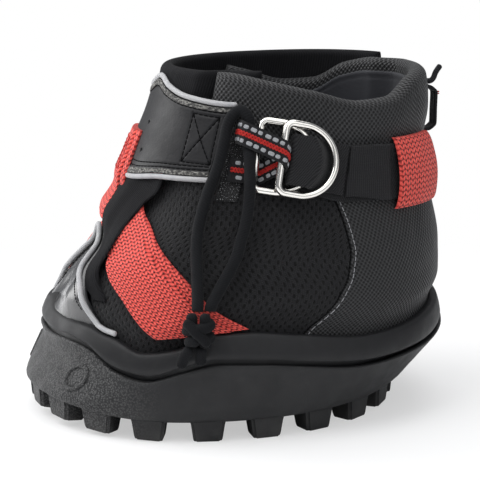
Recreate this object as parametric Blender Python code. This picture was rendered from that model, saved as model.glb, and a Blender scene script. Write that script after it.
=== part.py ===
"""Horse hoof boot: a studded rubber sole cup, a mesh upper laid up in layers,
crossed webbing over the instep and a strap closure through two D rings."""
import math
import bmesh
import bpy
import numpy as np
from mathutils import Matrix, Vector

# Frame: origin on the ground under the sole, +Z up, toe at -X, heel at +X.
# A turn is an angle round the boot in degrees: 0 heel, 90 right, 180 toe, 270 left.
# A half turn share runs from 0 at the toe to 1 at the heel, alike on both sides.
HEEL, RIGHT, TOE, LEFT, FULL = 0.0, 90.0, 180.0, 270.0, 360.0

# Overall sizes
UPPER_LENGTH = 0.168
UPPER_WIDTH = 0.144
UPPER_HEIGHT = 0.145
SOLE_FLARE = 0.001
LIP_HEIGHT = 0.038
CLEARANCE = 0.0003

# The sole's walls follow the upper's
SOLE_LENGTH = UPPER_LENGTH
SOLE_WIDTH = UPPER_WIDTH + SOLE_FLARE

# Upper sections: height share, length share, width share, shift share, heel roundness share
UPPER_SECTION_SHARES = (
    (0.00, 0.923, 0.935, -0.018, 2.05), (0.10, 0.923, 0.935, -0.018, 2.05),
    (0.21, 1.000, 1.000, 0.018, 2.28), (0.31, 0.976, 0.972, 0.027, 2.35),
    (0.49, 0.879, 0.861, 0.079, 2.35), (0.635, 0.773, 0.750, 0.110, 2.35),
    (0.76, 0.714, 0.681, 0.131, 2.35), (0.905, 0.668, 0.639, 0.156, 2.35),
    (1.00, 0.652, 0.635, 0.162, 2.35))
# Sole sections: height share, length share, width share, shift share, heel roundness share
SOLE_SECTION_SHARES = (
    (0.00, 0.915, 0.890, -0.046, 1.90), (0.21, 0.940, 0.910, -0.045, 1.90),
    (0.37, 0.964, 0.945, -0.036, 2.05), (0.60, 0.978, 0.976, -0.006, 2.20),
    (0.815, 0.990, 1.000, 0.023, 2.30), (1.00, 1.012, 1.014, 0.029, 2.35))
TOE_ROUNDNESS_SHARE = 2.1

# Lines round the boot: half turn share, share of the lip height
LIP_LINE_SHARES = (
    (0.0, 0.96), (0.09, 0.97), (0.14, 0.93), (0.20, 0.76), (0.27, 0.675), (0.32, 0.79),
    (0.37, 0.88), (0.44, 0.865), (0.50, 0.824), (0.62, 0.745), (0.74, 0.80), (0.85, 0.90), (1.0, 1.0))
RAND_LINE_SHARES = (
    (0.0, 1.38), (0.04, 1.34), (0.075, 1.21), (0.14, 1.20), (0.18, 1.09), (0.217, 1.0),
    (0.25, 0.93), (0.31, 0.995), (0.367, 1.147), (0.42, 1.16), (0.50, 1.108), (0.62, 1.026),
    (0.70, 1.06), (0.76, 1.118), (0.85, 1.184), (1.0, 1.237))

# Outsole
PLATE_UNDERSIDE = 0.0082
PLATE_THICKNESS = 0.0078
ROCKER_RISE = 0.0050
ROCKER_START_SHARE = -0.27
HEEL_RISE = 0.0024
HEEL_RISE_START_SHARE = 0.18
LUG_COUNT = 20
LUG_LENGTH = 0.0145
LUG_DEPTH = 0.0125
LUG_TAPER_SHARE = 0.80
LUG_INSET = 0.0012
LUG_CORNER_SHARES = ((-0.5, 0.0), (0.5, 0.0), (0.42, 1.0), (-0.42, 1.0))
INNER_LUG_COUNTS = (1, 2, 3, 2, 1)
INNER_LUG_PITCH = 0.0235
INNER_LUG_RADIUS = 0.0088
INNER_LUG_SIDES = 6
LUG_ROOT = 0.0016
GROOVE_HEIGHT = 0.0024
BOSS_TURNS = (155.0, 205.0)
BOSS_HEIGHT = 0.0225
BOSS_RADIUS = 0.0063
BOSS_RIM = 0.0021
BOSS_RAISE = 0.0009
BOSS_SIDES = 14

# Layers of the upper, counted outwards and inwards from the outer face of the panels
RAND_THICKNESS = 0.0032
RAND_LEG_THICKNESS = 0.0012
RAND_LEG_DEPTH = 0.0045
RAND_BEVEL = 0.0008
TUCK_GAP = 0.0006
TUCK_RISE = 0.011
PANEL_THICKNESS = 0.0018
LINING_THICKNESS = 0.0024
LINING_GAP = 0.0012
WEBBING_THICKNESS = 0.0012
WEBBING_LIFT = 0.0008
PANEL_TOP = 0.101
INSOLE_BOARD_THICKNESS = 0.002
INSOLE_PAD_THICKNESS = 0.006
PAD_CROWN = 0.0012
PAD_GAP = 0.0026
# The instep dips where the webbings, the facings and the front strap pile up
DIP_DEPTH = 0.0052
DIP_TURNS = (16.0, 46.0)
DIP_RISE_HEIGHTS = (0.056, 0.086)
DIP_FALL_HEIGHTS = (0.112, 0.127)

# Toe cap: half turn share from the toe, height share of the upper
CAP_EDGE_SHARES = (
    (0.0, 0.535), (0.014, 0.517), (0.028, 0.462), (0.05, 0.414), (0.105, 0.359),
    (0.15, 0.308), (0.20, 0.255))
CAP_REACH_TURN = 23.0
CAP_STEP_TURN = 3.8
PIPING_DIAMETER = 0.0022
PIPING_START_TURN = 1.2
PIPING_END_TURN = 36.0
PIPING_STEP_TURN = 2.9

# Heel seam: height share of the upper, turn from the toe
HEEL_SEAM_SHARES = ((0.10, 0.44), (0.29, 0.511), (0.331, 0.533), (0.379, 0.556), (0.436, 0.567),
                    (0.488, 0.567), (0.527, 0.561), (0.575, 0.55), (0.70, 0.515))

# Collar and front cuff
COLLAR_LINE_SHARES = ((0.0, 0.962), (0.25, 0.975), (0.34, 0.955), (0.46, 0.925), (0.58, 0.893),
                      (0.66, 0.897), (0.76, 0.945), (0.88, 0.965), (1.0, 0.966))
COLLAR_THICKNESS = 0.0068
COLLAR_CROWN = 0.0014
CROWN_TURNS = (268.0, 290.0, 332.0, 346.0)
COLLAR_LINING_THICKNESS = 0.0012
COLLAR_LINING_DROP = 0.0055
COLLAR_LINING_START_TURN = 239.0
COLLAR_FRONT_TURN = 222.0
COLLAR_END_TURN = 470.0
COLLAR_STEP_TURN = 7.5
CUFF_START_TURN = 26.0
CUFF_END_TURN = 237.0
CUFF_THICKNESS = 0.0056
CUFF_HEIGHT = 0.1415
CUFF_STEP_TURN = 7.5
CUFF_ROWS = 6
LAP_TURNS = (207.0, 220.0)
LAP_HEEL_TURNS = (2.0, 21.0)

# Facings: height share of the upper, half turn share from the toe of the inner edge and of the outer edge
FACING_EDGE_SHARES = ((0.365, 0.1278, 0.1611), (0.4, 0.0806, 0.1333), (0.435, 0.0528, 0.1139), (0.48, 0.0333, 0.1028),
                      (0.54, 0.0178, 0.0944), (0.61, 0.0144, 0.1056), (0.655, 0.0178, 0.1222))
FACING_THICKNESS = 0.0012

# Red webbings: lower edge and upper edge, half turn share from the toe, share of the height above the lip
WEBBING_LOWER_SHARES = ((0.275, 0.0324), (0.2056, 0.149), (0.1417, 0.2249), (0.0972, 0.2791),
                        (0.0444, 0.3387), (-0.0111, 0.4064), (-0.0722, 0.485), (-0.1222, 0.5555))
WEBBING_UPPER_SHARES = ((0.4167, 0.0677), (0.3556, 0.1408), (0.2889, 0.2411), (0.1722, 0.3929),
                        (0.1083, 0.4579), (0.0444, 0.5501), (-0.0111, 0.6314), (-0.0667, 0.7127))
WEBBING_ROWS = 16

# Front strap
FRONT_STRAP_TOP_TURNS = (129.5, 230.5)
FRONT_STRAP_LOW_TURNS = (132.5, 227.5)
# turn, height share
FRONT_STRAP_TOP_SHARES = ((126.0, 0.878), (154.0, 0.896), (169.0, 0.918), (180.0, 0.940),
                          (191.0, 0.918), (206.0, 0.896), (231.0, 0.882))
FRONT_STRAP_LOW_SHARES = ((126.0, 0.702), (153.0, 0.700), (180.0, 0.682), (207.0, 0.700), (231.0, 0.702))
FRONT_STRAP_THICKNESS = 0.0018
STRAP_COLUMNS = 19

# Closure strap
CLOSURE_WIDTH = 0.0216
CLOSURE_THICKNESS = 0.0011
CLOSURE_LINE_SHARES = ((0.0, 0.716), (0.28, 0.716), (0.44, 0.708), (0.60, 0.700), (1.0, 0.676))
CLOSURE_END_TURN = 485.6
TAIL_START = 0.0272
TAIL_END_TURN = 296.2

# Rings and their tab
RING_TURN = 252.5
RING_HEIGHT = 0.1086
RING_LEAN_TURN = 10.0
RING_WIRE = 0.0032
RING_SIDES = 8
RING_HALF_SPAN = 0.0139
RING_STRAIGHT = 0.0080
RING_CORNER = 0.0030
RING_STAGGER = 0.0095
INNER_RING_LIFT = 0.0029
INNER_RING_RISE = 0.0012
OUTER_RING_LIFT = 0.0078
OUTER_RING_DROP = 0.0050
TAB_WIDTH = 0.0095
TAB_THICKNESS = 0.0008
PATCH_THICKNESS = 0.0007
PATCH_TURNS = (232.2, 240.0)
PATCH_HEIGHTS = (0.0925, 0.1175)

# Keepers over the closure strap
KEEPER_TURNS = (299.0, 325.0)
KEEPER_LENGTH = 0.0278
KEEPER_THICKNESS = 0.0013
KEEPER_ARCH = 0.0040
KEEPER_FULLNESS_SHARE = 0.55
KEEPER_ROWS = 11

# Heel pull loop and its cord
LOOP_TURN = 352.0
LOOP_WIDTH = 0.0085
LOOP_THICKNESS = 0.0014
LOOP_RISE = 0.0031
LOOP_LENGTH = 0.0165
LOOP_REACH = 0.0076
HEEL_CORD_DIAMETER = 0.0024

# Pull cord: a knotted loop through the ring tab, along points chosen by hand
CORD_DIAMETER = 0.0046
CORD_SPACING = 0.0054
CORD_ROUTE = (
    (-0.0374, -0.0660, 0.0543), (-0.0369, -0.0649, 0.0568), (-0.0354, -0.0600, 0.0643),
    (-0.0332, -0.0526, 0.0761), (-0.0304, -0.0482, 0.0851), (-0.0258, -0.0449, 0.0961),
    (-0.0221, -0.0438, 0.1037), (-0.0196, -0.0429, 0.1103), (-0.0177, -0.0419, 0.1165),
    (-0.0159, -0.0409, 0.1225), (-0.0138, -0.0408, 0.1259), (-0.0111, -0.0415, 0.1277),
    (-0.0091, -0.0431, 0.1262), (-0.0083, -0.0447, 0.1231), (-0.0091, -0.0462, 0.1174),
    (-0.0097, -0.0477, 0.1132), (-0.0101, -0.0495, 0.1105), (-0.0109, -0.0524, 0.1038),
    (-0.0116, -0.0542, 0.0981), (-0.0124, -0.0552, 0.0924), (-0.0138, -0.0565, 0.0868),
    (-0.0165, -0.0585, 0.0802), (-0.0204, -0.0612, 0.0720), (-0.0279, -0.0644, 0.0616),
    (-0.0320, -0.0669, 0.0566), (-0.0327, -0.0673, 0.0543))
KNOT_CENTRE = (-0.0379, -0.0688, 0.0468)
KNOT_SIZE = (0.0132, 0.0092, 0.0124)
# Height share and width share of the knot's bands
KNOT_SHARES = ((-0.50, 0.52), (-0.40, 0.80), (-0.18, 1.00), (0.02, 0.93), (0.20, 1.00), (0.44, 0.94), (0.50, 0.86))
KNOT_SIDES = 12
TAIL_FRONT_ROUTE = ((-0.0418, -0.0682, 0.0396), (-0.0432, -0.0670, 0.0368), (-0.0441, -0.0661, 0.0338))
TAIL_BACK_ROUTE = ((-0.0372, -0.0692, 0.0396), (-0.0371, -0.0687, 0.0372), (-0.0370, -0.0684, 0.0348))

WALL_STEP_TURN = 9.0
LINING_STEP_TURN = 10.0
INSOLE_STEP_TURN = 13.5

# Sole cup
FLOOR_HEIGHT = PLATE_UNDERSIDE + PLATE_THICKNESS
BOARD_BOTTOM = FLOOR_HEIGHT + CLEARANCE
PANEL_BOTTOM = BOARD_BOTTOM + INSOLE_BOARD_THICKNESS + CLEARANCE
LEG_OUT = RAND_LEG_THICKNESS - RAND_THICKNESS
UNDERSIDE_SHARES = (0.42, 0.80)
WALL_SHARES = (0.14, 0.60)
CUP_EDGE_BEVEL = 0.0014
LIP_BEVEL = 0.0007

# Panels
RISE_SHARES = (0.0, 0.33, 0.66, 1.0)
PANEL_ROWS = 5
LINING_ROWS = 4
SIDE_COLUMNS = 13
HEEL_COLUMNS = 19
SEAM_PASSES = 6
THROAT_TURN = 8.5
THROAT_HEIGHTS = (0.073, 0.082)
SEAM_GAP_TURN = 0.25
CAP_GAP_TURN = 0.9

# Padded walls
COLLAR_FOOT = PANEL_TOP + CLEARANCE
ROLL_SHARES = ((0.0, 0.55), (0.14, 0.20), (0.50, 0.0), (0.86, 0.20), (1.0, 0.55))
CROWN_START = 0.005

# Facings and webbings
FACING_RAISE = 2 * (WEBBING_THICKNESS + CLEARANCE) + WEBBING_LIFT - CLEARANCE
FACING_RAISE_HEIGHTS = (0.054, 0.066)
PLY_ACROSS_SHARES = (0.0, 0.28, 0.56, 0.80, 0.84, 1.0)
PLY_COVER_SHARES = (1.0, 1.0, 1.0, 1.0, 0.0, 0.0)
CROSS_TURNS = (16.0, 26.0)
PLY_TURNS = (22.0, 32.0)

# Straps
STRAP_LIFT = CLEARANCE * 1.2
STRAP_ROWS = 5
RING_BLEND_TURN = 26.0
RING_STRAP_RISE = 0.0040
STRAP_CENTRE = -0.0003
STRAP_ACROSS_SHARES = (-1.0, -0.55, 0.0, 0.55, 1.0)
FOLD_AT = 0.0031
FOLD_ROUND = 0.0012
INNER_SWING_ROOM = 0.0008
FALL_STATIONS = 5
FOLD_STEPS = 2
PINCH_SHARE = 0.94
FOLD_LEAD_TURN = 3.0
CLOSURE_STATIONS = 27
TAIL_STATIONS = 7

# Ring tab: places as s along the strap and h up, from the outer ring's bar
TAB_START = (-0.0190, 0.0080)
TAB_FOOT = (-0.0182, 0.0079)
TAB_OVER_INNER = (-0.0085, 0.0044)
TAB_CORD = (-0.0142, 0.0041)
TAB_CORD_HEIGHTS = (0.0076, 0.0062)
TAB_EASE = 0.0006
TAB_BAR_TOP = 0.0018
TAB_BAR_LOW = -0.0022
TAB_LOW_H = -0.0072
TAB_LOW_STATIONS = (-0.0130, -0.0162, -0.0196)
TAB_UNDER_SHARES = ((0.42, 0.47), (0.72, 0.10), (1.0, 0.0))
TAB_WRAP_STEPS = 6


def clear_scene():
    for obj in list(bpy.data.objects):
        bpy.data.objects.remove(obj, do_unlink=True)


def make_material(name, colour, roughness, metallic=0.0):
    mat = bpy.data.materials.new(name)
    mat.use_nodes = True
    shader = mat.node_tree.nodes["Principled BSDF"]
    shader.inputs["Base Color"].default_value = (*colour, 1.0)
    shader.inputs["Roughness"].default_value = roughness
    shader.inputs["Metallic"].default_value = metallic
    return mat


def split_faces(mesh):
    """Turn faces outwards and split them, so that layers side by side bend alike."""
    edit = bmesh.new()
    edit.from_mesh(mesh)
    bmesh.ops.recalc_face_normals(edit, faces=edit.faces)
    bmesh.ops.triangulate(edit, faces=edit.faces, quad_method="BEAUTY", ngon_method="BEAUTY")
    edit.to_mesh(mesh)
    edit.free()


def finish_mesh(name, points, faces, mat, sharp=40.0, split=True):
    mesh = bpy.data.meshes.new(name)
    mesh.from_pydata([tuple(p) for p in points], [], faces)
    if split:
        split_faces(mesh)
    mesh.shade_smooth()
    mesh.set_sharp_from_angle(angle=math.radians(sharp))
    obj = bpy.data.objects.new(name, mesh)
    bpy.context.collection.objects.link(obj)
    mesh.materials.append(mat)
    return obj


def set_origin(obj, place):
    """Put an object's origin on its joint's axis without moving the object."""
    obj.data.transform(Matrix.Translation(-place))
    obj.location = place


def read_curve(table, at, column=1):
    """A smooth curve through a table's rows, read at one place."""
    xs = [row[0] for row in table]
    ys = [row[column] for row in table]
    if at <= xs[0]:
        return ys[0]
    if at >= xs[-1]:
        return ys[-1]
    k = max(i for i in range(len(xs) - 1) if xs[i] <= at)
    slopes = [(ys[i + 1] - ys[i]) / (xs[i + 1] - xs[i]) for i in range(len(xs) - 1)]

    def tangent(i):
        if i == 0 or i == len(xs) - 1:
            return 0.0
        a, b = slopes[i - 1], slopes[i]
        return 0.0 if a * b <= 0 else 2 * a * b / (a + b)

    gap = xs[k + 1] - xs[k]
    u = (at - xs[k]) / gap
    start, end = tangent(k) * gap, tangent(k + 1) * gap
    return (ys[k] * (1 + 2 * u) * (1 - u) ** 2 + ys[k + 1] * u * u * (3 - 2 * u)
            + start * u * (1 - u) ** 2 - end * u * u * (1 - u))


def smooth(value, low, high):
    u = min(max((value - low) / (high - low), 0.0), 1.0)
    return u * u * (3 - 2 * u)


def from_toe(turn):
    """Degrees from the toe, from -180 on the right to 180 on the left."""
    return (turn % FULL) - TOE


def half_share(turn):
    return abs(from_toe(turn)) / TOE


def outline(turn, half_length, half_width, centre, heel_roundness):
    c, s = math.cos(math.radians(turn)), math.sin(math.radians(turn))
    power = heel_roundness if c > 0 else TOE_ROUNDNESS_SHARE
    reach = (abs(c) ** power + abs(s) ** power) ** (-1 / power)
    return centre + half_length * reach * c, half_width * reach * s


def last(turn, height, out=0.0):
    """A point on the upper's outer form, moved out level from it."""
    at = height / UPPER_HEIGHT
    length = read_curve(UPPER_SECTION_SHARES, at, 1) * UPPER_LENGTH / 2
    width = read_curve(UPPER_SECTION_SHARES, at, 2) * UPPER_WIDTH / 2
    centre = read_curve(UPPER_SECTION_SHARES, at, 3) * UPPER_LENGTH
    roundness = read_curve(UPPER_SECTION_SHARES, at, 4)
    x, y = outline(turn, length + out, width + out, centre, roundness)
    return Vector((x, y, height))


def sole(turn, height, out=0.0):
    """A point on the sole cup's outer wall."""
    at = height / LIP_HEIGHT
    length = read_curve(SOLE_SECTION_SHARES, at, 1) * SOLE_LENGTH / 2
    width = read_curve(SOLE_SECTION_SHARES, at, 2) * SOLE_WIDTH / 2
    centre = read_curve(SOLE_SECTION_SHARES, at, 3) * SOLE_LENGTH
    roundness = read_curve(SOLE_SECTION_SHARES, at, 4)
    x, y = outline(turn, length + out, width + out, centre, roundness)
    return Vector((x, y, height))


def lip_height(turn):
    return read_curve(LIP_LINE_SHARES, half_share(turn)) * LIP_HEIGHT


def rand_height(turn):
    return read_curve(RAND_LINE_SHARES, half_share(turn)) * LIP_HEIGHT


def collar_height(turn):
    return read_curve(COLLAR_LINE_SHARES, half_share(turn)) * UPPER_HEIGHT


def tuck(turn, height):
    """How far the panels draw in to pass behind the rand."""
    rise = smooth(height, rand_height(turn), rand_height(turn) + TUCK_RISE)
    return (RAND_THICKNESS + TUCK_GAP) * (1 - rise)


def dip(turn, height):
    """How far the instep sinks under the layers that cross it."""
    across = 1 - smooth(abs(from_toe(turn)), *DIP_TURNS)
    up = smooth(height, *DIP_RISE_HEIGHTS) - smooth(height, *DIP_FALL_HEIGHTS)
    return DIP_DEPTH * across * up


def wall(turn, height, out=0.0):
    """A point at a height above or below the outer face of the panels."""
    return last(turn, height, out - tuck(turn, height) - dip(turn, height))


def grid_solid(name, outer, inner, mat, sharp=40.0):
    """A closed plate between two grids of points, outer face and inner face."""
    rows, cols = len(outer), len(outer[0])
    points = [p for row in outer for p in row] + [p for row in inner for p in row]
    back = rows * cols

    def at(i, j, side=0):
        return side * back + i * cols + j

    faces = []
    for i in range(rows - 1):
        for j in range(cols - 1):
            faces.append((at(i, j), at(i, j + 1), at(i + 1, j + 1), at(i + 1, j)))
            faces.append((at(i, j, 1), at(i + 1, j, 1), at(i + 1, j + 1, 1), at(i, j + 1, 1)))
    for i in range(rows - 1):
        faces.append((at(i, 0), at(i + 1, 0), at(i + 1, 0, 1), at(i, 0, 1)))
        faces.append((at(i, cols - 1), at(i, cols - 1, 1), at(i + 1, cols - 1, 1), at(i + 1, cols - 1)))
    for j in range(cols - 1):
        faces.append((at(0, j), at(0, j, 1), at(0, j + 1, 1), at(0, j + 1)))
        faces.append((at(rows - 1, j), at(rows - 1, j + 1), at(rows - 1, j + 1, 1), at(rows - 1, j, 1)))
    return finish_mesh(name, points, faces, mat, sharp)


def loop_solid(name, loops, mat, closed=False, sharp=40.0, split=True):
    """A closed solid through loops of equal count, capped unless it closes on itself."""
    count = len(loops[0])
    points = [p for loop in loops for p in loop]
    faces = []
    spans = len(loops) if closed else len(loops) - 1
    for i in range(spans):
        a, b = i * count, (i + 1) % len(loops) * count
        for j in range(count):
            k = (j + 1) % count
            faces.append((a + j, a + k, b + k, b + j))
    if not closed:
        faces.append(tuple(range(count)))
        faces.append(tuple(range(len(points) - count, len(points))))
    return finish_mesh(name, points, faces, mat, sharp, split)


def turns(start, end, step):
    """Evenly spaced turns from start to end, about a step apart."""
    count = max(int(round(abs(end - start) / step)), 1)
    return [start + (end - start) * i / count for i in range(count + 1)]


def spread(low, high, count):
    return [low + (high - low) * i / (count - 1) for i in range(count)]


def tube(name, points, radius, sides, mat, closed=False):
    """A round bar through points, turned along its path."""
    loops = []
    count = len(points)
    normal = None
    for i, point in enumerate(points):
        ahead = points[(i + 1) % count] if closed or i < count - 1 else point
        behind = points[i - 1] if closed or i > 0 else point
        along = (ahead - behind).normalized()
        if normal is None:
            normal = along.orthogonal().normalized()
        normal = (normal - along * normal.dot(along)).normalized()
        side = along.cross(normal)
        loops.append([point + radius * (math.cos(a) * normal + math.sin(a) * side)
                      for a in (math.tau * k / sides for k in range(sides))])
    return loop_solid(name, loops, mat, closed, sharp=60.0)


def join_solids(target, others):
    """Union other solids into one object, then remove them."""
    for other in others:
        cut = target.modifiers.new(other.name, "BOOLEAN")
        cut.operation = "UNION"
        cut.solver = "EXACT"
        cut.object = other
        graph = bpy.context.evaluated_depsgraph_get()
        mesh = bpy.data.meshes.new_from_object(target.evaluated_get(graph))
        target.modifiers.clear()
        target.data = mesh
        bpy.data.objects.remove(other, do_unlink=True)


def rise_of_sole(x):
    """How far the tread lifts off the ground at the toe and at the heel."""
    toe_start = ROCKER_START_SHARE * SOLE_LENGTH
    heel_start = HEEL_RISE_START_SHARE * SOLE_LENGTH
    toe_end = toe_start - SOLE_LENGTH / 4
    heel_end = heel_start + SOLE_LENGTH / 4
    toe = min(max((toe_start - x) / (toe_start - toe_end), 0.0), 1.0)
    heel = min(max((x - heel_start) / (heel_end - heel_start), 0.0), 1.0)
    return ROCKER_RISE * toe ** 2 + HEEL_RISE * heel ** 2


def sole_edge(turn, inset=0.0):
    """The corner between the sole's wall and its underside."""
    point = sole(turn, PLATE_UNDERSIDE, -inset)
    return Vector((point.x, point.y, PLATE_UNDERSIDE + rise_of_sole(point.x)))


def ledge_height(turn):
    """Height of the step in the cup's wall that the rand's leg stands on."""
    return lip_height(turn) - RAND_LEG_DEPTH - CLEARANCE


def foot_heights(turn):
    """Rows that the cup's wall and everything inside it share below the step."""
    return [PANEL_BOTTOM, ledge_height(turn)]


def rand_middle(turn):
    """A row half way up behind the rand."""
    return (ledge_height(turn) + rand_height(turn)) / 2


def cup_profile(turn):
    """One section of the cup, from the middle of its underside round to its floor."""
    edge = sole_edge(turn, CUP_EDGE_BEVEL)
    points = []
    for share in UNDERSIDE_SHARES:
        x, y = edge.x * share, edge.y * share
        points.append(Vector((x, y, PLATE_UNDERSIDE + rise_of_sole(x))))
    points.append(edge)
    top = lip_height(turn) - GROOVE_HEIGHT / 2
    for share in WALL_SHARES:
        points.append(sole(turn, edge.z + (top - edge.z) * share))
    points.append(sole(turn, top - LIP_BEVEL))
    points.append(sole(turn, top, -LIP_BEVEL))
    points.append(last(turn, top, LEG_OUT + CLEARANCE))
    points.append(last(turn, ledge_height(turn), LEG_OUT + CLEARANCE))
    points += [last(turn, z, -RAND_THICKNESS) for z in reversed(foot_heights(turn))]
    points.append(last(turn, FLOOR_HEIGHT, -RAND_THICKNESS))
    rim = points[-1]
    points.append(Vector((rim.x / 2, rim.y / 2, FLOOR_HEIGHT)))
    return points


def whole_solid(name, loops, mat, closed=False):
    """A solid whose faces stay whole for a union, and face outwards."""
    solid = loop_solid(name, loops, mat, closed, split=False)
    edit = bmesh.new()
    edit.from_mesh(solid.data)
    bmesh.ops.recalc_face_normals(edit, faces=edit.faces)
    edit.to_mesh(solid.data)
    edit.free()
    return solid


def frustum(base, tip, name, mat):
    return whole_solid(name, [base, tip], mat)


def edge_lug(turn, mat):
    """A chunky stud under the sole's edge, flush with its wall."""
    centre = sole_edge(turn, LUG_INSET)
    ahead = (sole_edge(turn + 1, LUG_INSET) - sole_edge(turn - 1, LUG_INSET))
    along = Vector((ahead.x, ahead.y, 0)).normalized()
    inward = Vector((-along.y, along.x, 0))

    def face(share, top):
        loop = []
        for a, b in LUG_CORNER_SHARES:
            p = centre + along * a * LUG_LENGTH * share + inward * (b * share + (1 - share) / 3) * LUG_DEPTH
            height = PLATE_UNDERSIDE + LUG_ROOT if top else 0.0
            loop.append(Vector((p.x, p.y, height + rise_of_sole(p.x))))
        return loop

    return frustum(face(1.0, True), face(LUG_TAPER_SHARE, False), "edge_lug", mat)


def inner_lug(x, y, mat):
    """A six-sided stud in the middle of the tread."""
    def face(share, top):
        height = PLATE_UNDERSIDE + LUG_ROOT if top else 0.0
        loop = []
        for k in range(INNER_LUG_SIDES):
            a = math.tau * (k + 0.5) / INNER_LUG_SIDES
            px = x + INNER_LUG_RADIUS * share * math.cos(a)
            py = y + INNER_LUG_RADIUS * share * math.sin(a)
            loop.append(Vector((px, py, height + rise_of_sole(px))))
        return loop

    return frustum(face(1.0, True), face(LUG_TAPER_SHARE, False), "inner_lug", mat)


def toe_boss(turn, mat):
    """A plain raised ring moulded on the side of the toe."""
    centre = sole(turn, BOSS_HEIGHT)
    along = (sole(turn + 1, BOSS_HEIGHT) - sole(turn - 1, BOSS_HEIGHT)).normalized()
    up = (sole(turn, BOSS_HEIGHT + BOSS_RADIUS) - sole(turn, BOSS_HEIGHT - BOSS_RADIUS)).normalized()
    out = along.cross(up).normalized()
    loops = []
    for k in range(BOSS_SIDES):
        a = math.tau * k / BOSS_SIDES
        spoke = along * math.cos(a) + up * math.sin(a)
        section = ((BOSS_RADIUS, -BOSS_RIM), (BOSS_RADIUS, BOSS_RAISE),
                   (BOSS_RADIUS - BOSS_RIM, BOSS_RAISE), (BOSS_RADIUS - BOSS_RIM, -BOSS_RIM))
        loops.append([centre + spoke * r + out * n for r, n in section])
    return whole_solid("toe_boss", loops, mat, closed=True)


def join_disjoint(parts):
    """One object out of solids that don't touch each other."""
    with_first = parts[0]
    edit = bmesh.new()
    for part in parts:
        edit.from_mesh(part.data)
    edit.to_mesh(with_first.data)
    edit.free()
    for part in parts[1:]:
        bpy.data.objects.remove(part, do_unlink=True)
    return with_first


def build_outsole(mat):
    sections = [cup_profile(turn) for turn in turns(HEEL, FULL, WALL_STEP_TURN)[:-1]]
    loops = [[section[k] for section in sections] for k in range(len(sections[0]))]
    cup = whole_solid("outsole", loops, mat)
    lugs = [edge_lug(turn, mat) for turn in turns(HEEL, FULL, FULL / LUG_COUNT)[:-1]]
    for k, count in enumerate(INNER_LUG_COUNTS):
        x = (k - (len(INNER_LUG_COUNTS) - 1) / 2) * INNER_LUG_PITCH
        lugs += [inner_lug(x, (i - (count - 1) / 2) * INNER_LUG_PITCH, mat) for i in range(count)]
    bosses = [toe_boss(turn, mat) for turn in BOSS_TURNS]
    join_solids(cup, [join_disjoint(lugs)] + bosses)
    split_faces(cup.data)
    cup.data.shade_smooth()
    cup.data.set_sharp_from_angle(angle=math.radians(35))
    return cup


def build_rand(mat):
    loops = []
    for turn in turns(HEEL, FULL, WALL_STEP_TURN)[:-1]:
        foot, groove, top = (lip_height(turn) - RAND_LEG_DEPTH, lip_height(turn) + GROOVE_HEIGHT / 2,
                             rand_height(turn))
        middle = (groove + top) / 2
        loops.append([
            last(turn, foot, -RAND_THICKNESS), last(turn, foot, LEG_OUT), last(turn, groove, LEG_OUT),
            last(turn, groove), last(turn, middle, CLEARANCE), last(turn, top - RAND_BEVEL),
            last(turn, top, -RAND_BEVEL), last(turn, top, -RAND_THICKNESS),
            last(turn, rand_middle(turn), -RAND_THICKNESS)])
    return loop_solid("rand_band", loops, mat, closed=True)


def build_insole(board_mat, pad_mat):
    around = turns(HEEL, FULL, INSOLE_STEP_TURN)[:-1]
    out = -RAND_THICKNESS - CLEARANCE
    top = BOARD_BOTTOM + INSOLE_BOARD_THICKNESS
    loop_solid("insole_board", [[last(t, z, out) for t in around] for z in (BOARD_BOTTOM, top)], board_mat)
    inside = out - PANEL_THICKNESS - LINING_GAP - LINING_THICKNESS - PAD_GAP
    low = top + CLEARANCE
    high = low + INSOLE_PAD_THICKNESS
    rings = []
    for height, inset in ((low, PAD_CROWN), (low + PAD_CROWN, 0.0), (high - PAD_CROWN, 0.0),
                          (high, PAD_CROWN)):
        rings.append([last(t, height, inside - inset) for t in around])
    loop_solid("insole_pad", rings, pad_mat)


def cap_edge(angle):
    """Height of the toe cap's edge at an angle from the toe."""
    return read_curve(CAP_EDGE_SHARES, abs(angle) / TOE) * UPPER_HEIGHT


def cap_angle(height):
    """Angle from the toe of the toe cap's edge at a height."""
    table = [(row[1], row[0]) for row in reversed(CAP_EDGE_SHARES)]
    return min(read_curve(table, height / UPPER_HEIGHT) * TOE, CAP_REACH_TURN)


def panel_heights(turn, top, rows):
    """Rows of a panel: its foot in the sole, the draw-in above the rand, then even steps."""
    start = rand_height(turn) + CLEARANCE
    room = min(TUCK_RISE, (top - start) * 0.7)
    heights = foot_heights(turn) + [rand_middle(turn)] + [start + room * share for share in RISE_SHARES]
    return heights + spread(heights[-1], top, rows)[1:]


def build_toe_cap(mat):
    outer, inner = [], []
    for angle in turns(-CAP_REACH_TURN, CAP_REACH_TURN, CAP_STEP_TURN):
        turn = TOE + angle
        heights = panel_heights(turn, cap_edge(angle) - CLEARANCE, 4)
        outer.append([wall(turn, z) for z in heights])
        inner.append([wall(turn, z, -PANEL_THICKNESS) for z in heights])
    return grid_solid("toe_cap", outer, inner, mat)


def piping_route(side):
    """Points along the toe cap's edge and then the rand's, on one side."""
    points = []
    for angle in turns(PIPING_START_TURN, PIPING_END_TURN, PIPING_STEP_TURN):
        height = max(cap_edge(angle), rand_height(TOE + angle) + PIPING_DIAMETER / 2 + 2 * CLEARANCE)
        lift = PIPING_DIAMETER / 2 + CLEARANCE * 1.5
        points.append(wall(TOE + side * angle, height, lift))
    return points


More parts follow.
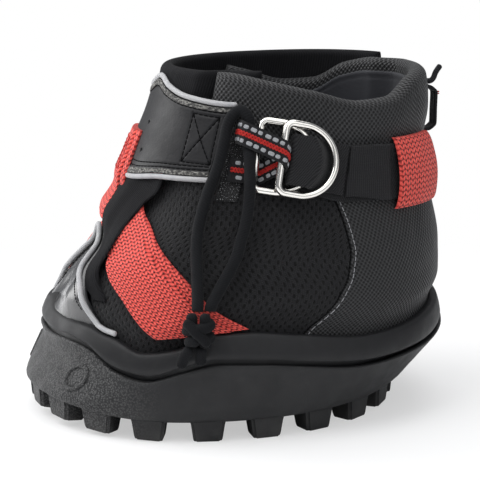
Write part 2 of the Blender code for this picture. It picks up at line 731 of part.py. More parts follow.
def panel_span(height, side_turn):
    """Front and rear edge of a side panel at a height, in degrees from the toe."""
    throat = THROAT_TURN * smooth(height, *THROAT_HEIGHTS)
    front = max(cap_angle(height) + CAP_GAP_TURN, throat)
    rear = read_curve(HEEL_SEAM_SHARES, height / UPPER_HEIGHT) * TOE - SEAM_GAP_TURN
    return front + (rear - front) * side_turn


def build_side_panel(name, side, mat):
    outer, inner = [], []
    for share in spread(0.0, 1.0, SIDE_COLUMNS):
        column_out, column_in = [], []
        for i in range(len(panel_heights(TOE, PANEL_TOP, PANEL_ROWS))):
            angle = panel_span(PANEL_TOP / 2, share)
            for _ in range(SEAM_PASSES):
                height = panel_heights(TOE + angle, PANEL_TOP, PANEL_ROWS)[i]
                angle = panel_span(height, share)
            turn = TOE + side * angle
            column_out.append(wall(turn, height))
            column_in.append(wall(turn, height, -PANEL_THICKNESS))
        outer.append(column_out)
        inner.append(column_in)
    return grid_solid(name, outer, inner, mat)


def build_heel_panel(mat):
    outer, inner = [], []
    for share in spread(-1.0, 1.0, HEEL_COLUMNS):
        column_out, column_in = [], []
        for i in range(len(panel_heights(HEEL, PANEL_TOP, PANEL_ROWS))):
            angle = TOE * (1 - abs(share) / 2)
            for _ in range(SEAM_PASSES):
                height = panel_heights(TOE + angle, PANEL_TOP, PANEL_ROWS)[i]
                seam = read_curve(HEEL_SEAM_SHARES, height / UPPER_HEIGHT) * TOE + SEAM_GAP_TURN
                angle = TOE - (TOE - seam) * abs(share)
            turn = TOE + math.copysign(angle, share)
            column_out.append(wall(turn, height))
            column_in.append(wall(turn, height, -PANEL_THICKNESS))
        outer.append(column_out)
        inner.append(column_in)
    return grid_solid("heel_panel", outer, inner, mat)


def build_lining(mat):
    loops = []
    near = -PANEL_THICKNESS - LINING_GAP
    far = near - LINING_THICKNESS
    for turn in turns(HEEL, FULL, LINING_STEP_TURN)[:-1]:
        heights = panel_heights(turn, PANEL_TOP, LINING_ROWS)
        loops.append([wall(turn, z, near) for z in heights] + [wall(turn, z, far) for z in reversed(heights)])
    return loop_solid("boot_lining", loops, mat, closed=True)


def lap_of_cuff(turn):
    """How deep the cuff passes under the near arm of the collar."""
    return (COLLAR_THICKNESS + CLEARANCE) * smooth(turn, *LAP_TURNS)


def lap_of_collar(turn):
    """How deep the far arm of the collar passes under the cuff."""
    return (CUFF_THICKNESS + CLEARANCE) * smooth(turn - FULL, *LAP_HEEL_TURNS)


def crown_of_collar(turn):
    """How far the padding bulges: not under the rings, nor where the cuff laps it."""
    return COLLAR_CROWN * (smooth(turn, *CROWN_TURNS[:2]) - smooth(turn, *CROWN_TURNS[2:]))


def padded_section(point, top, depth, thickness, crown):
    """A padded wall's section: up the outside, over a rolled top, down the inside."""
    strap_top = CLOSURE_LINE_SHARES[-1][1] * UPPER_HEIGHT + CLOSURE_WIDTH / 2 + CROWN_START
    heights = spread(COLLAR_FOOT, strap_top, 3) + spread(strap_top, top - thickness, 3)[1:]
    section = []
    for z in heights:
        swell = crown * math.sin(math.pi * max(z - strap_top, 0.0) / (top - strap_top))
        section.append(point(z, swell - depth))
    for across, down in ROLL_SHARES:
        section.append(point(top - thickness * down, -depth - thickness * across))
    for z in (top - thickness, (top + COLLAR_FOOT) / 2, COLLAR_FOOT):
        section.append(point(z, -depth - thickness))
    return section


def build_collar(mat):
    loops = []
    for turn in turns(COLLAR_FRONT_TURN, COLLAR_END_TURN, COLLAR_STEP_TURN):
        loops.append(padded_section(lambda z, out: last(turn, z, out), collar_height(turn),
                                    lap_of_collar(turn), COLLAR_THICKNESS, crown_of_collar(turn)))
    return loop_solid("collar", loops, mat)


def build_collar_lining(mat):
    outer, inner = [], []
    for turn in turns(COLLAR_LINING_START_TURN, COLLAR_END_TURN, LINING_STEP_TURN):
        near = -lap_of_collar(turn) - COLLAR_THICKNESS - CLEARANCE
        heights = spread(COLLAR_FOOT, collar_height(turn) - COLLAR_LINING_DROP, 3)
        outer.append([last(turn, z, near) for z in heights])
        inner.append([last(turn, z, near - COLLAR_LINING_THICKNESS) for z in heights])
    return grid_solid("collar_lining", outer, inner, mat)


def build_cuff(mat):
    loops = []
    for turn in turns(CUFF_START_TURN, CUFF_END_TURN, CUFF_STEP_TURN):
        depth = lap_of_cuff(turn)
        heights = spread(COLLAR_FOOT, CUFF_HEIGHT - CUFF_THICKNESS, CUFF_ROWS)
        section = [wall(turn, z, -depth) for z in heights]
        for across, down in ROLL_SHARES:
            section.append(wall(turn, CUFF_HEIGHT - CUFF_THICKNESS * down, -depth - CUFF_THICKNESS * across))
        section += [wall(turn, z, -depth - CUFF_THICKNESS) for z in reversed(heights[::2])]
        loops.append(section)
    return loop_solid("front_cuff", loops, mat)


def build_facing(name, side, mat):
    outer, inner = [], []
    for height_share in spread(FACING_EDGE_SHARES[0][0], FACING_EDGE_SHARES[-1][0], 14):
        z = height_share * UPPER_HEIGHT
        lift = CLEARANCE + FACING_RAISE * smooth(z, *FACING_RAISE_HEIGHTS)
        inner_edge = read_curve(FACING_EDGE_SHARES, height_share, 1) * TOE
        outer_edge = read_curve(FACING_EDGE_SHARES, height_share, 2) * TOE
        angles = spread(inner_edge, outer_edge, 5)
        inner.append([wall(TOE + side * a, z, lift) for a in angles])
        outer.append([wall(TOE + side * a, z, lift + FACING_THICKNESS) for a in angles])
    return grid_solid(name, outer, inner, mat)


def edge_point(table, share):
    """A place along a webbing's edge: angle from the toe and height."""
    rows = [(k / (len(table) - 1), *row) for k, row in enumerate(table)]
    angle = rows_read(rows, share, 1) * TOE
    height = LIP_HEIGHT + rows_read(rows, share, 2) * (UPPER_HEIGHT - LIP_HEIGHT)
    return angle, height


def rows_read(rows, share, column):
    xs = [row[0] for row in rows]
    k = min(int(share * (len(rows) - 1)), len(rows) - 2)
    u = (share - xs[k]) / (xs[k + 1] - xs[k])
    before = rows[max(k - 1, 0)][column]
    a, b = rows[k][column], rows[k + 1][column]
    after = rows[min(k + 2, len(rows) - 1)][column]
    m0, m1 = (b - before) / 2, (after - a) / 2
    return (a * (1 + 2 * u) * (1 - u) ** 2 + b * u * u * (3 - 2 * u)
            + m0 * u * (1 - u) ** 2 - m1 * u * u * (1 - u))


def build_webbing(name, side, over, mat):
    """A doubled webbing from the sole up over the instep; one side's crosses over the other's."""
    outer, inner = [], []
    for i in range(WEBBING_ROWS):
        share = i / (WEBBING_ROWS - 1)
        low_angle, low_height = edge_point(WEBBING_LOWER_SHARES, share)
        high_angle, high_height = edge_point(WEBBING_UPPER_SHARES, share)
        row_out, row_in = [], []
        for across, cover in zip(PLY_ACROSS_SHARES, PLY_COVER_SHARES):
            angle = low_angle + (high_angle - low_angle) * across
            height = low_height + (high_height - low_height) * across
            middle = (low_angle + high_angle) / 2
            raised = (1 - smooth(middle, *CROSS_TURNS)) if over else 0.0
            doubled = smooth(middle, *PLY_TURNS)
            base = WEBBING_LIFT + raised * (WEBBING_THICKNESS + CLEARANCE)
            top = base + WEBBING_THICKNESS * (1 + doubled * cover)
            turn = TOE + side * angle
            row_in.append(wall(turn, height, base))
            row_out.append(wall(turn, height, top))
        outer.append(row_out)
        inner.append(row_in)
    return grid_solid(name, outer, inner, mat)


def strap_edges(turn):
    top = read_curve(FRONT_STRAP_TOP_SHARES, turn) * UPPER_HEIGHT
    low = read_curve(FRONT_STRAP_LOW_SHARES, turn) * UPPER_HEIGHT
    return low, top


def build_front_strap(mat, piping_mat):
    outer, inner, top_route, low_route = [], [], [], []
    radius = PIPING_DIAMETER / 2
    for top_turn, low_turn in zip(spread(*FRONT_STRAP_TOP_TURNS, STRAP_COLUMNS),
                                  spread(*FRONT_STRAP_LOW_TURNS, STRAP_COLUMNS)):
        low, top = strap_edges(low_turn)[0], strap_edges(top_turn)[1]
        places = list(zip(spread(low_turn, top_turn, STRAP_ROWS), spread(low, top, STRAP_ROWS)))
        outer.append([last(turn, z, STRAP_LIFT + FRONT_STRAP_THICKNESS) for turn, z in places])
        inner.append([last(turn, z, STRAP_LIFT) for turn, z in places])
        top_route.append(last(top_turn, top + radius + CLEARANCE, STRAP_LIFT + radius))
        low_route.append(last(low_turn, low - radius - CLEARANCE, STRAP_LIFT + radius))
    grid_solid("front_strap", outer, inner, mat)
    tube("front_strap_piping_top", top_route, radius, 6, piping_mat)
    tube("front_strap_piping_bottom", low_route, radius, 6, piping_mat)


class RingFrame:
    """A flat frame on the boot's left side: s runs to the heel, h up, n out."""

    def __init__(self):
        self.origin = last(RING_TURN, RING_HEIGHT)
        back = (last(RING_TURN + 1, RING_HEIGHT) - last(RING_TURN - 1, RING_HEIGHT)).normalized()
        up = (last(RING_TURN, RING_HEIGHT * 1.02) - last(RING_TURN, RING_HEIGHT * 0.98)).normalized()
        self.n = back.cross(up).normalized()
        up = self.n.cross(back).normalized()
        lean = math.radians(RING_LEAN_TURN)
        self.s = back * math.cos(lean) - up * math.sin(lean)
        self.h = up * math.cos(lean) + back * math.sin(lean)

    def point(self, s, h, n):
        return self.origin + self.s * s + self.h * h + self.n * n

    def place(self, s, h):
        """Turn and height of the upper's surface behind a place in the frame."""
        turn, height = RING_TURN, RING_HEIGHT
        for _ in range(12):
            offset = last(turn, height) - self.origin
            miss_s, miss_h = s - offset.dot(self.s), h - offset.dot(self.h)
            radius = (last(turn + 1, height) - last(turn, height)).length
            level = miss_s * self.s + miss_h * self.h
            height += level.z
            along = (last(turn + 1, height) - last(turn - 1, height)).normalized()
            turn += level.dot(along) / radius
        return turn, height

    def surface(self, s, h, out=0.0):
        """The upper's surface behind a place in the frame, moved out from it."""
        turn, height = self.place(s, h)
        return last(turn, height, out)

    def lift(self, s, h):
        return (self.surface(s, h) - self.origin).dot(self.n)


def closure_height(turn):
    """Height of the closure strap's middle line."""
    line = read_curve(CLOSURE_LINE_SHARES, half_share(turn)) * UPPER_HEIGHT
    if turn > RING_TURN + RING_BLEND_TURN:
        return line
    return line + (RING_STRAP_RISE * (1 - smooth(turn, RING_TURN, RING_TURN + RING_BLEND_TURN)))


def ring_reach(h):
    """How far a ring's round end stands from its centre at a height off its middle."""
    return math.sqrt(RING_HALF_SPAN ** 2 - h ** 2)


def fall_span(h):
    """Where the strap's return comes down: past the inner ring's arc, before the outer's."""
    reach = ring_reach(h)
    clear = RING_WIRE / 2 * RING_HALF_SPAN / reach + CLEARANCE
    centre = RING_STRAIGHT + reach
    return centre - RING_STAGGER + clear, centre - clear


def strap_bottom(frame, s, h):
    """Underside of the strap's return: over the inner ring's arc, then down under the outer's."""
    low = frame.lift(s, h) + CLOSURE_THICKNESS + 2 * CLEARANCE
    high = INNER_RING_LIFT + INNER_RING_RISE + RING_WIRE / 2 + INNER_SWING_ROOM + CLEARANCE
    return low + (high - low) * (1 - smooth(s, *fall_span(h)))


def strap_path(frame, h):
    """Middle line of the closure strap through the rings at one height, as (s, n)."""
    half = CLOSURE_THICKNESS / 2
    start = TAIL_START - CLEARANCE
    first = FOLD_AT + FOLD_ROUND + half
    past, until = fall_span(h)
    stations = [start, (start + until) / 2] + spread(until, past, FALL_STATIONS) + [(past + first) / 2, first]
    path = [(s, strap_bottom(frame, s, h) + half) for s in stations]
    top = path[-1][1]
    base = frame.lift(first, h) + CLEARANCE + half
    for k in range(1, FOLD_STEPS + 1):
        a = math.pi / 2 * k / FOLD_STEPS
        path.append((first - FOLD_ROUND * math.sin(a), top - FOLD_ROUND * (1 - math.cos(a))))
    for k in range(FOLD_STEPS + 1):
        a = math.pi / 2 * k / FOLD_STEPS
        path.append((first - FOLD_ROUND * math.cos(a), base + FOLD_ROUND * (1 - math.sin(a))))
    return path


def offset_path(path, distance):
    """A path moved sideways in its plane."""
    moved = []
    for k, (s, n) in enumerate(path):
        s0, n0 = path[max(k - 1, 0)]
        s1, n1 = path[min(k + 1, len(path) - 1)]
        length = math.hypot(s1 - s0, n1 - n0)
        moved.append((s - (n1 - n0) / length * distance, n + (s1 - s0) / length * distance))
    return moved


def build_closure_strap(frame, mat):
    half = CLOSURE_THICKNESS / 2
    columns_a, columns_b = [], []
    for across_share in STRAP_ACROSS_SHARES:
        across = across_share * CLOSURE_WIDTH / 2
        h = across * PINCH_SHARE + STRAP_CENTRE
        path = strap_path(frame, h)
        side_a = [frame.point(s, h, n) for s, n in offset_path(path, -half)]
        side_b = [frame.point(s, h, n) for s, n in offset_path(path, half)]
        turn, height = frame.place(path[-1][0] + FOLD_ROUND, h)
        for at in spread(turn + FOLD_LEAD_TURN, CLOSURE_END_TURN, CLOSURE_STATIONS):
            share = smooth(at, turn, RING_TURN + RING_BLEND_TURN)
            middle = closure_height(at) + across
            z = middle + (height - closure_height(turn) - across) * (1 - share)
            side_a.append(last(at, z, CLEARANCE))
            side_b.append(last(at, z, CLEARANCE + CLOSURE_THICKNESS))
        columns_a.append(side_a)
        columns_b.append(side_b)
    return grid_solid("closure_strap", columns_a, columns_b, mat)


def build_closure_tail(frame, mat):
    outer, inner = [], []
    low = 2 * CLEARANCE + CLOSURE_THICKNESS
    for share in STRAP_ACROSS_SHARES:
        across = share * CLOSURE_WIDTH / 2
        turn, height = frame.place(TAIL_START, across * PINCH_SHARE + STRAP_CENTRE)
        row_out, row_in = [], []
        for at in spread(turn, TAIL_END_TURN, TAIL_STATIONS):
            blend = smooth(at, turn, TAIL_END_TURN)
            z = (closure_height(at) + across) * blend + height * (1 - blend)
            row_in.append(last(at, z, low))
            row_out.append(last(at, z, low + CLOSURE_THICKNESS))
        outer.append(row_out)
        inner.append(row_in)
    tail = grid_solid("closure_tail", outer, inner, mat)
    set_origin(tail, (outer[0][0] + outer[-1][0]) / 2)


def ring_outline():
    """The D ring's middle line in its own plane: straight bar, corners, arms and round end."""
    points = []
    corner = RING_CORNER
    span = RING_HALF_SPAN
    for share in (-0.5, 0.5):
        points.append((0.0, (span - corner) * 2 * share))
    for k in range(1, 4):
        a = math.pi / 2 * k / 3
        points.append((corner * (1 - math.cos(a)), span - corner + corner * math.sin(a)))
    for k in range(13):
        a = math.pi / 2 - math.pi * k / 12
        points.append((RING_STRAIGHT + span * math.cos(a), span * math.sin(a)))
    for k in range(0, 3):
        a = math.pi / 2 * k / 3
        points.append((corner * (1 - math.sin(a)), -span + corner - corner * math.cos(a)))
    return points


def build_ring(name, frame, bar, lift, drop, mat):
    length = RING_STRAIGHT + RING_HALF_SPAN
    lowering = drop / length
    points = [frame.point(bar + s, h, lift - s * lowering) for s, h in ring_outline()]
    ring = tube(name, points, RING_WIRE / 2, RING_SIDES, mat, closed=True)
    set_origin(ring, frame.point(bar, 0.0, lift))


def tab_route(frame):
    """Stations of the ring tab: s, h and n of its middle, and how far it follows the surface."""
    half = TAB_THICKNESS / 2
    over_patch = PATCH_THICKNESS + 2 * CLEARANCE + TAB_EASE + half
    outer_top = OUTER_RING_LIFT + RING_WIRE / 2 + CLEARANCE + half
    route = [(*TAB_START, frame.lift(*TAB_START) + over_patch, 1.0),
             (*TAB_FOOT, frame.lift(*TAB_FOOT) + over_patch, 1.0)]
    bend = CORD_DIAMETER / 2 + 2 * CLEARANCE + half
    for h, a in zip(spread(*TAB_CORD_HEIGHTS, 4), (math.pi, 0.83 * math.pi, 0.66 * math.pi, 0.5 * math.pi)):
        route.append((TAB_CORD[0] + bend * math.cos(a), h, TAB_CORD[1] + bend * math.sin(a), 0.0))
    route.append((*TAB_OVER_INNER, (route[-1][2] + outer_top) / 2, 0.0))
    wrap = RING_WIRE / 2 + CLEARANCE + half
    for k in range(TAB_WRAP_STEPS + 1):
        share = k / TAB_WRAP_STEPS
        a = math.pi * (0.5 - share)
        route.append((wrap * math.cos(a), TAB_BAR_TOP + (TAB_BAR_LOW - TAB_BAR_TOP) * share,
                      OUTER_RING_LIFT + wrap * math.sin(a), 0.0))
    under = frame.lift(-RING_STAGGER, TAB_LOW_H) + CLEARANCE + half
    low_bar = OUTER_RING_LIFT - wrap
    for share, drop in TAB_UNDER_SHARES:
        height = TAB_BAR_LOW + (TAB_LOW_H - TAB_BAR_LOW) * min(share * 1.3, 1.0)
        route.append((-RING_STAGGER * share, height, under + (low_bar - under) * drop, 1.0 - drop))
    for s in TAB_LOW_STATIONS:
        route.append((s, TAB_LOW_H, frame.lift(s, TAB_LOW_H) + over_patch, 1.0))
    return route


def build_ring_tab(frame, mat):
    route = tab_route(frame)
    half = TAB_THICKNESS / 2
    outer, inner = [], []
    for share in (-0.5, 0.0, 0.5):
        across = share * TAB_WIDTH
        path = [(s, n + follow * (frame.lift(s, h + across) - frame.lift(s, h))) for s, h, n, follow in route]
        face_a, face_b = offset_path(path, half), offset_path(path, -half)
        outer.append([frame.point(s, route[k][1] + across, n) for k, (s, n) in enumerate(face_a)])
        inner.append([frame.point(s, route[k][1] + across, n) for k, (s, n) in enumerate(face_b)])
    return grid_solid("ring_tab", outer, inner, mat)


def build_hook_patch(mat):
    outer, inner = [], []
    for turn in spread(*PATCH_TURNS, 3):
        heights = spread(*PATCH_HEIGHTS, 4)
        outer.append([wall(turn, z, CLEARANCE + PATCH_THICKNESS) for z in heights])
        inner.append([wall(turn, z, CLEARANCE) for z in heights])
    return grid_solid("hook_patch", outer, inner, mat)


def build_keeper(name, side, mat):
    outer, inner = [], []
    middle = closure_height(sum(KEEPER_TURNS) / 2)
    low, high = middle - KEEPER_LENGTH / 2, middle + KEEPER_LENGTH / 2
    for turn in spread(*KEEPER_TURNS, 5):
        at = TOE + side * (turn - TOE)
        row_out, row_in = [], []
        for k, z in enumerate(spread(low, high, KEEPER_ROWS)):
            bow = math.sin(math.pi * k / (KEEPER_ROWS - 1)) ** KEEPER_FULLNESS_SHARE
            arch = KEEPER_ARCH * bow
            row_in.append(last(at, z, CLEARANCE + arch))
            row_out.append(last(at, z, CLEARANCE + arch + KEEPER_THICKNESS))
        outer.append(row_out)
        inner.append(row_in)
    return grid_solid(name, outer, inner, mat)


def build_heel_loop(mat, cord_mat):
    """A folded webbing loop standing off the heel, with a cord end through its top."""
    low = closure_height(LOOP_TURN) + CLOSURE_WIDTH / 2 + LOOP_RISE
    high = low + LOOP_LENGTH
    half = LOOP_THICKNESS / 2
    reach = LOOP_REACH - half
    path = [(CLEARANCE, high + half), (reach * 0.6, high + half), (reach * 0.9, high - half),
            (reach, high - 3 * half), (reach, (high + low) / 2), (reach, low + 3 * half),
            (reach * 0.9, low + half), (reach * 0.6, low - half), (CLEARANCE, low - half)]
    face_a, face_b = offset_path(path, half), offset_path(path, -half)
    outer, inner = [], []
    spread_turn = math.degrees(LOOP_WIDTH / (UPPER_WIDTH / 2))
    for share in (-0.5, 0.0, 0.5):
        turn = LOOP_TURN + share * spread_turn
        outer.append([last(turn, z, out) for out, z in face_a])
        inner.append([last(turn, z, out) for out, z in face_b])
    grid_solid("heel_pull_loop", outer, inner, mat)
    radius = HEEL_CORD_DIAMETER / 2
    foot = high + LOOP_THICKNESS + CLEARANCE + radius
    stub = [(reach * 0.45, foot), (reach * 0.75, foot), (reach * 0.95, foot + radius),
            (reach * 1.1, foot + 3 * radius), (reach * 1.35, foot + 5 * radius)]
    points = [last(LOOP_TURN, z, out) for out, z in stub]
    cord_object("heel_cord", points, HEEL_CORD_DIAMETER, cord_mat)


def smooth_route(route, spacing):
    """Points a set distance apart on a smooth curve through a route's own points."""
    points = [Vector(p) for p in route]
    fine = []
    for k in range(len(points) - 1):
        p0, p1, p2 = points[max(k - 1, 0)], points[k], points[k + 1]
        p3 = points[min(k + 2, len(points) - 1)]
        for i in range(24):
            u = i / 24
            fine.append(0.5 * (2 * p1 + (p2 - p0) * u + (2 * p0 - 5 * p1 + 4 * p2 - p3) * u * u
                               + (3 * p1 - p0 - 3 * p2 + p3) * u ** 3))
    fine.append(points[-1])
    lengths = [0.0]
    for a, b in zip(fine, fine[1:]):
        lengths.append(lengths[-1] + (b - a).length)
    count = max(round(lengths[-1] / spacing), 2)
    result = []
    for i in range(count + 1):
        want = lengths[-1] * i / count
        k = min(max(j for j in range(len(lengths)) if lengths[j] <= want), len(fine) - 2)
        u = (want - lengths[k]) / (lengths[k + 1] - lengths[k])
        result.append(fine[k].lerp(fine[k + 1], u))
    return result, lengths[-1]


def cord_object(name, points, diameter, mat):
    curve = bpy.data.curves.new(name, "CURVE")
    curve.dimensions = "3D"
    curve.bevel_depth = diameter / 2
    curve.bevel_resolution = 2
    curve.use_fill_caps = True
    spline = curve.splines.new("POLY")
    spline.points.add(len(points) - 1)
    for point, place in zip(spline.points, points):
        point.co = (*place, 1.0)
    obj = bpy.data.objects.new(name, curve)
    bpy.context.collection.objects.link(obj)
    curve.materials.append(mat)
    return obj


def build_pull_cord(mat):
    points, length = smooth_route(CORD_ROUTE, CORD_SPACING)
    cord_object("pull_cord", points, CORD_DIAMETER, mat)
    print(f"pull cord {length * 1000:.0f} mm")
    for name, route in (("front", TAIL_FRONT_ROUTE), ("back", TAIL_BACK_ROUTE)):
        points, length = smooth_route(route, CORD_SPACING)
        cord_object("pull_cord_tail_" + name, points, CORD_DIAMETER, mat)
        print(f"tail {name} {length * 1000:.0f} mm")
    centre = Vector(KNOT_CENTRE)
    out = Vector((centre.x, centre.y, 0.0)).normalized()
    along = Vector((-out.y, out.x, 0.0))
    width, depth, height = KNOT_SIZE
    loops = []
    for rise, share in KNOT_SHARES:
        loops.append([centre + Vector((0.0, 0.0, rise * height))
                      + along * math.cos(a) * share * width / 2 + out * math.sin(a) * share * depth / 2
                      for a in (math.tau * k / KNOT_SIDES for k in range(KNOT_SIDES))])
    loop_solid("pull_cord_knot", loops, mat, sharp=60.0)


def build_all():
    clear_scene()
    rubber = make_material("sole_rubber", (0.035, 0.036, 0.038), 0.62)
    band_rubber = make_material("rand_rubber", (0.030, 0.031, 0.033), 0.45)
    gloss = make_material("toe_cap_gloss", (0.030, 0.031, 0.034), 0.22)
    mesh_cloth = make_material("air_mesh", (0.016, 0.016, 0.018), 0.85)
    heel_cloth = make_material("ballistic_cloth", (0.040, 0.041, 0.044), 0.70)
    knit = make_material("knit", (0.014, 0.014, 0.016), 0.90)
    smooth_lining = make_material("smooth_lining", (0.028, 0.029, 0.034), 0.60)
    foam = make_material("pad_foam", (0.05, 0.05, 0.055), 0.90)
    board = make_material("lasting_board", (0.30, 0.28, 0.24), 0.85)
    red = make_material("red_webbing", (0.62, 0.085, 0.065), 0.75)
    leather = make_material("strap_leather", (0.045, 0.046, 0.050), 0.42)
    piping = make_material("reflective_piping", (0.52, 0.53, 0.55), 0.45)
    strap_cloth = make_material("closure_strap_cloth", (0.014, 0.014, 0.016), 0.90)
    nickel = make_material("nickel", (0.82, 0.80, 0.76), 0.18, 1.0)
    tab_cloth = make_material("tab_ribbon", (0.020, 0.020, 0.022), 0.80)
    hooks = make_material("hook_patch", (0.018, 0.018, 0.020), 0.50)
    cord = make_material("cord", (0.022, 0.022, 0.025), 0.85)

    build_outsole(rubber)
    build_rand(band_rubber)
    build_insole(board, foam)
    build_lining(smooth_lining)
    build_toe_cap(gloss)
    build_heel_panel(heel_cloth)
    build_collar(heel_cloth)
    build_collar_lining(smooth_lining)
    build_cuff(knit)
    for name, side in (("left", 1), ("right", -1)):
        tube("toe_piping_" + name, piping_route(side), PIPING_DIAMETER / 2, 6, piping)
        build_side_panel("side_panel_" + name, side, mesh_cloth)
        build_facing("facing_" + name, side, knit)
        build_webbing("red_webbing_" + name, side, side > 0, red)
        build_keeper("strap_keeper_" + name, side, red)
    build_front_strap(leather, piping)
    frame = RingFrame()
    build_closure_strap(frame, strap_cloth)
    build_closure_tail(frame, strap_cloth)
    build_ring("ring_inner", frame, -RING_STAGGER, INNER_RING_LIFT, -INNER_RING_RISE, nickel)
    build_ring("ring_outer", frame, 0.0, OUTER_RING_LIFT, OUTER_RING_DROP, nickel)
    build_ring_tab(frame, tab_cloth)
    build_hook_patch(hooks)
    build_heel_loop(tab_cloth, cord)
    build_pull_cord(cord)


build_all()
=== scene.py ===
"""Looks of the horse hoof boot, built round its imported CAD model."""

import math

import bpy
import numpy as np
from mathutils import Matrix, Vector


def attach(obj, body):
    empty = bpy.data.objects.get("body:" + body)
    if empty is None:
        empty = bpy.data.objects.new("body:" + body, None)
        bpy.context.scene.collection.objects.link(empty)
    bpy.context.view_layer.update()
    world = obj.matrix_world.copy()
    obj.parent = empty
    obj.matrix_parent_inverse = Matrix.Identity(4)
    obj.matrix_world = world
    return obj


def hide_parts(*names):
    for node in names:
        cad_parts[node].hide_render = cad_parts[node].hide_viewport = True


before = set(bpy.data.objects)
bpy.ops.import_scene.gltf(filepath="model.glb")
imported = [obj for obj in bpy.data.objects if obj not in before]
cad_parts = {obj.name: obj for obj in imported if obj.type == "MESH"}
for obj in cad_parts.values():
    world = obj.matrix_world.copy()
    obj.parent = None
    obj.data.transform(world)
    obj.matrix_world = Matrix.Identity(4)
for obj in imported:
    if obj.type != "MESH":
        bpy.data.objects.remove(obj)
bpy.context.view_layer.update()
MM = 0.001
SIDES = (("left", 1), ("right", -1))


# ---------------------------------------------------------------- material tools
class Wire:
    """A node's output. Arithmetic on it adds one math node for each step."""

    def __init__(self, nodes, socket):
        self.nodes, self.socket = nodes, socket

    def __add__(self, other):
        return self.nodes.math("ADD", self, other)

    def __sub__(self, other):
        return self.nodes.math("SUBTRACT", self, other)

    def __rsub__(self, other):
        return self.nodes.math("SUBTRACT", other, self)

    def __mul__(self, other):
        return self.nodes.math("MULTIPLY", self, other)

    def __truediv__(self, other):
        return self.nodes.math("DIVIDE", self, other)

    def __pow__(self, other):
        return self.nodes.math("POWER", self, other)

    def __abs__(self):
        return self.nodes.math("ABSOLUTE", self)


class Nodes:
    """The nodes of one tree."""

    def __init__(self, tree):
        self.tree = tree

    def feed(self, socket, value):
        if isinstance(value, Wire):
            self.tree.links.new(value.socket, socket)
        else:
            socket.default_value = value

    def add(self, kind, output, *inputs, **values):
        """A new node, fed by place and by name. Gives one output, or all of those in a list."""
        made = self.tree.nodes.new("ShaderNode" + kind)
        for key, value in values.items():
            name = key.replace("_", " ")
            if name in made.inputs:
                self.feed(made.inputs[name], value)
            else:
                setattr(made, key, value)
        for socket, value in zip(made.inputs, inputs):
            self.feed(socket, value)
        if isinstance(output, list):
            return [Wire(self, made.outputs[name]) for name in output]
        return Wire(self, made.outputs[output])

    def math(self, operation, *values, clamp=False):
        return self.add("Math", 0, *values, operation=operation, use_clamp=clamp)

    def step(self, value, low, high, to_low=0.0, to_high=1.0):
        return self.add("MapRange", 0, value, low, high, to_low, to_high, interpolation_type="SMOOTHSTEP")


class Look(Nodes):
    """A Principled material being built. UVs are in mm along the surface, places in metres."""

    def __init__(self, name, roughness=0.8, **sockets):
        self.mat = bpy.data.materials.new(name)
        self.mat.use_nodes = True
        super().__init__(self.mat.node_tree)
        self.shader = self.tree.nodes["Principled BSDF"]
        for key, value in dict(sockets, Roughness=roughness).items():
            self.shader.inputs[key.replace("_", " ")].default_value = value

    def split(self, vector):
        return self.add("SeparateXYZ", [0, 1, 2], Vector=vector)

    def uv(self):
        return self.split(self.add("UVMap", 0, uv_map="UVMap"))[:2]

    def spot(self):
        return self.add("TexCoord", "Object")

    def rim(self):
        """Distance from a sheet's rim, in mm."""
        return self.add("Attribute", "Fac", attribute_name="rim")

    def wave(self, value, pitch):
        """0 to 1 and back, once a pitch."""
        return self.math("MULTIPLY_ADD", self.math("SINE", value * (math.tau / pitch)), 0.5, 0.5)

    def off_middle(self, value):
        """How far a value is from the middle between two whole numbers."""
        return self.math("FRACT", value) - 0.5

    def noise(self, scale, detail=3.0, rough=0.55, stretch=None):
        spot = self.spot()
        if stretch:
            spot = self.add("Mapping", 0, Vector=spot, Scale=stretch)
        return self.add("TexNoise", "Fac", Vector=spot, Scale=scale, Detail=detail, Roughness=rough)

    def cells(self, scale):
        return self.add("TexVoronoi", "Distance", Vector=self.spot(), Scale=scale)

    def mix(self, share, a, b):
        """A mix of two colours, each a wire or red, green and blue."""
        made = self.tree.nodes.new("ShaderNodeMix")
        made.data_type = "RGBA"
        for place, value in ((0, share), (6, a), (7, b)):
            self.feed(made.inputs[place], (*value, 1.0) if isinstance(value, (tuple, list)) else value)
        return Wire(self, made.outputs[2])

    def bump(self, height, distance, strength=1.0, **below):
        return self.add("Bump", 0, Strength=strength, Distance=distance, Height=height, **below)

    def done(self, slot, colour, rough=None, normal=None):
        for name, value in (("Base Color", colour), ("Roughness", rough), ("Normal", normal)):
            if value is not None:
                self.feed(self.shader.inputs[name], value)
        return self.mat, slot

    def woven(self, slot, height, dark, light, bump, cloud=None, tint=None):
        """Colour and bump that follow a height pattern; on a weave that paints shade in its hollows and light on its
        crowns. cloud gives a noise and the steps of its tint.
        """
        colour = self.mix(height, dark, light)
        if cloud:
            noise, *steps = cloud
            colour = self.mix(self.step(noise, *steps), colour, tint)
        return self.done(slot, colour, None, self.bump(height, *bump))


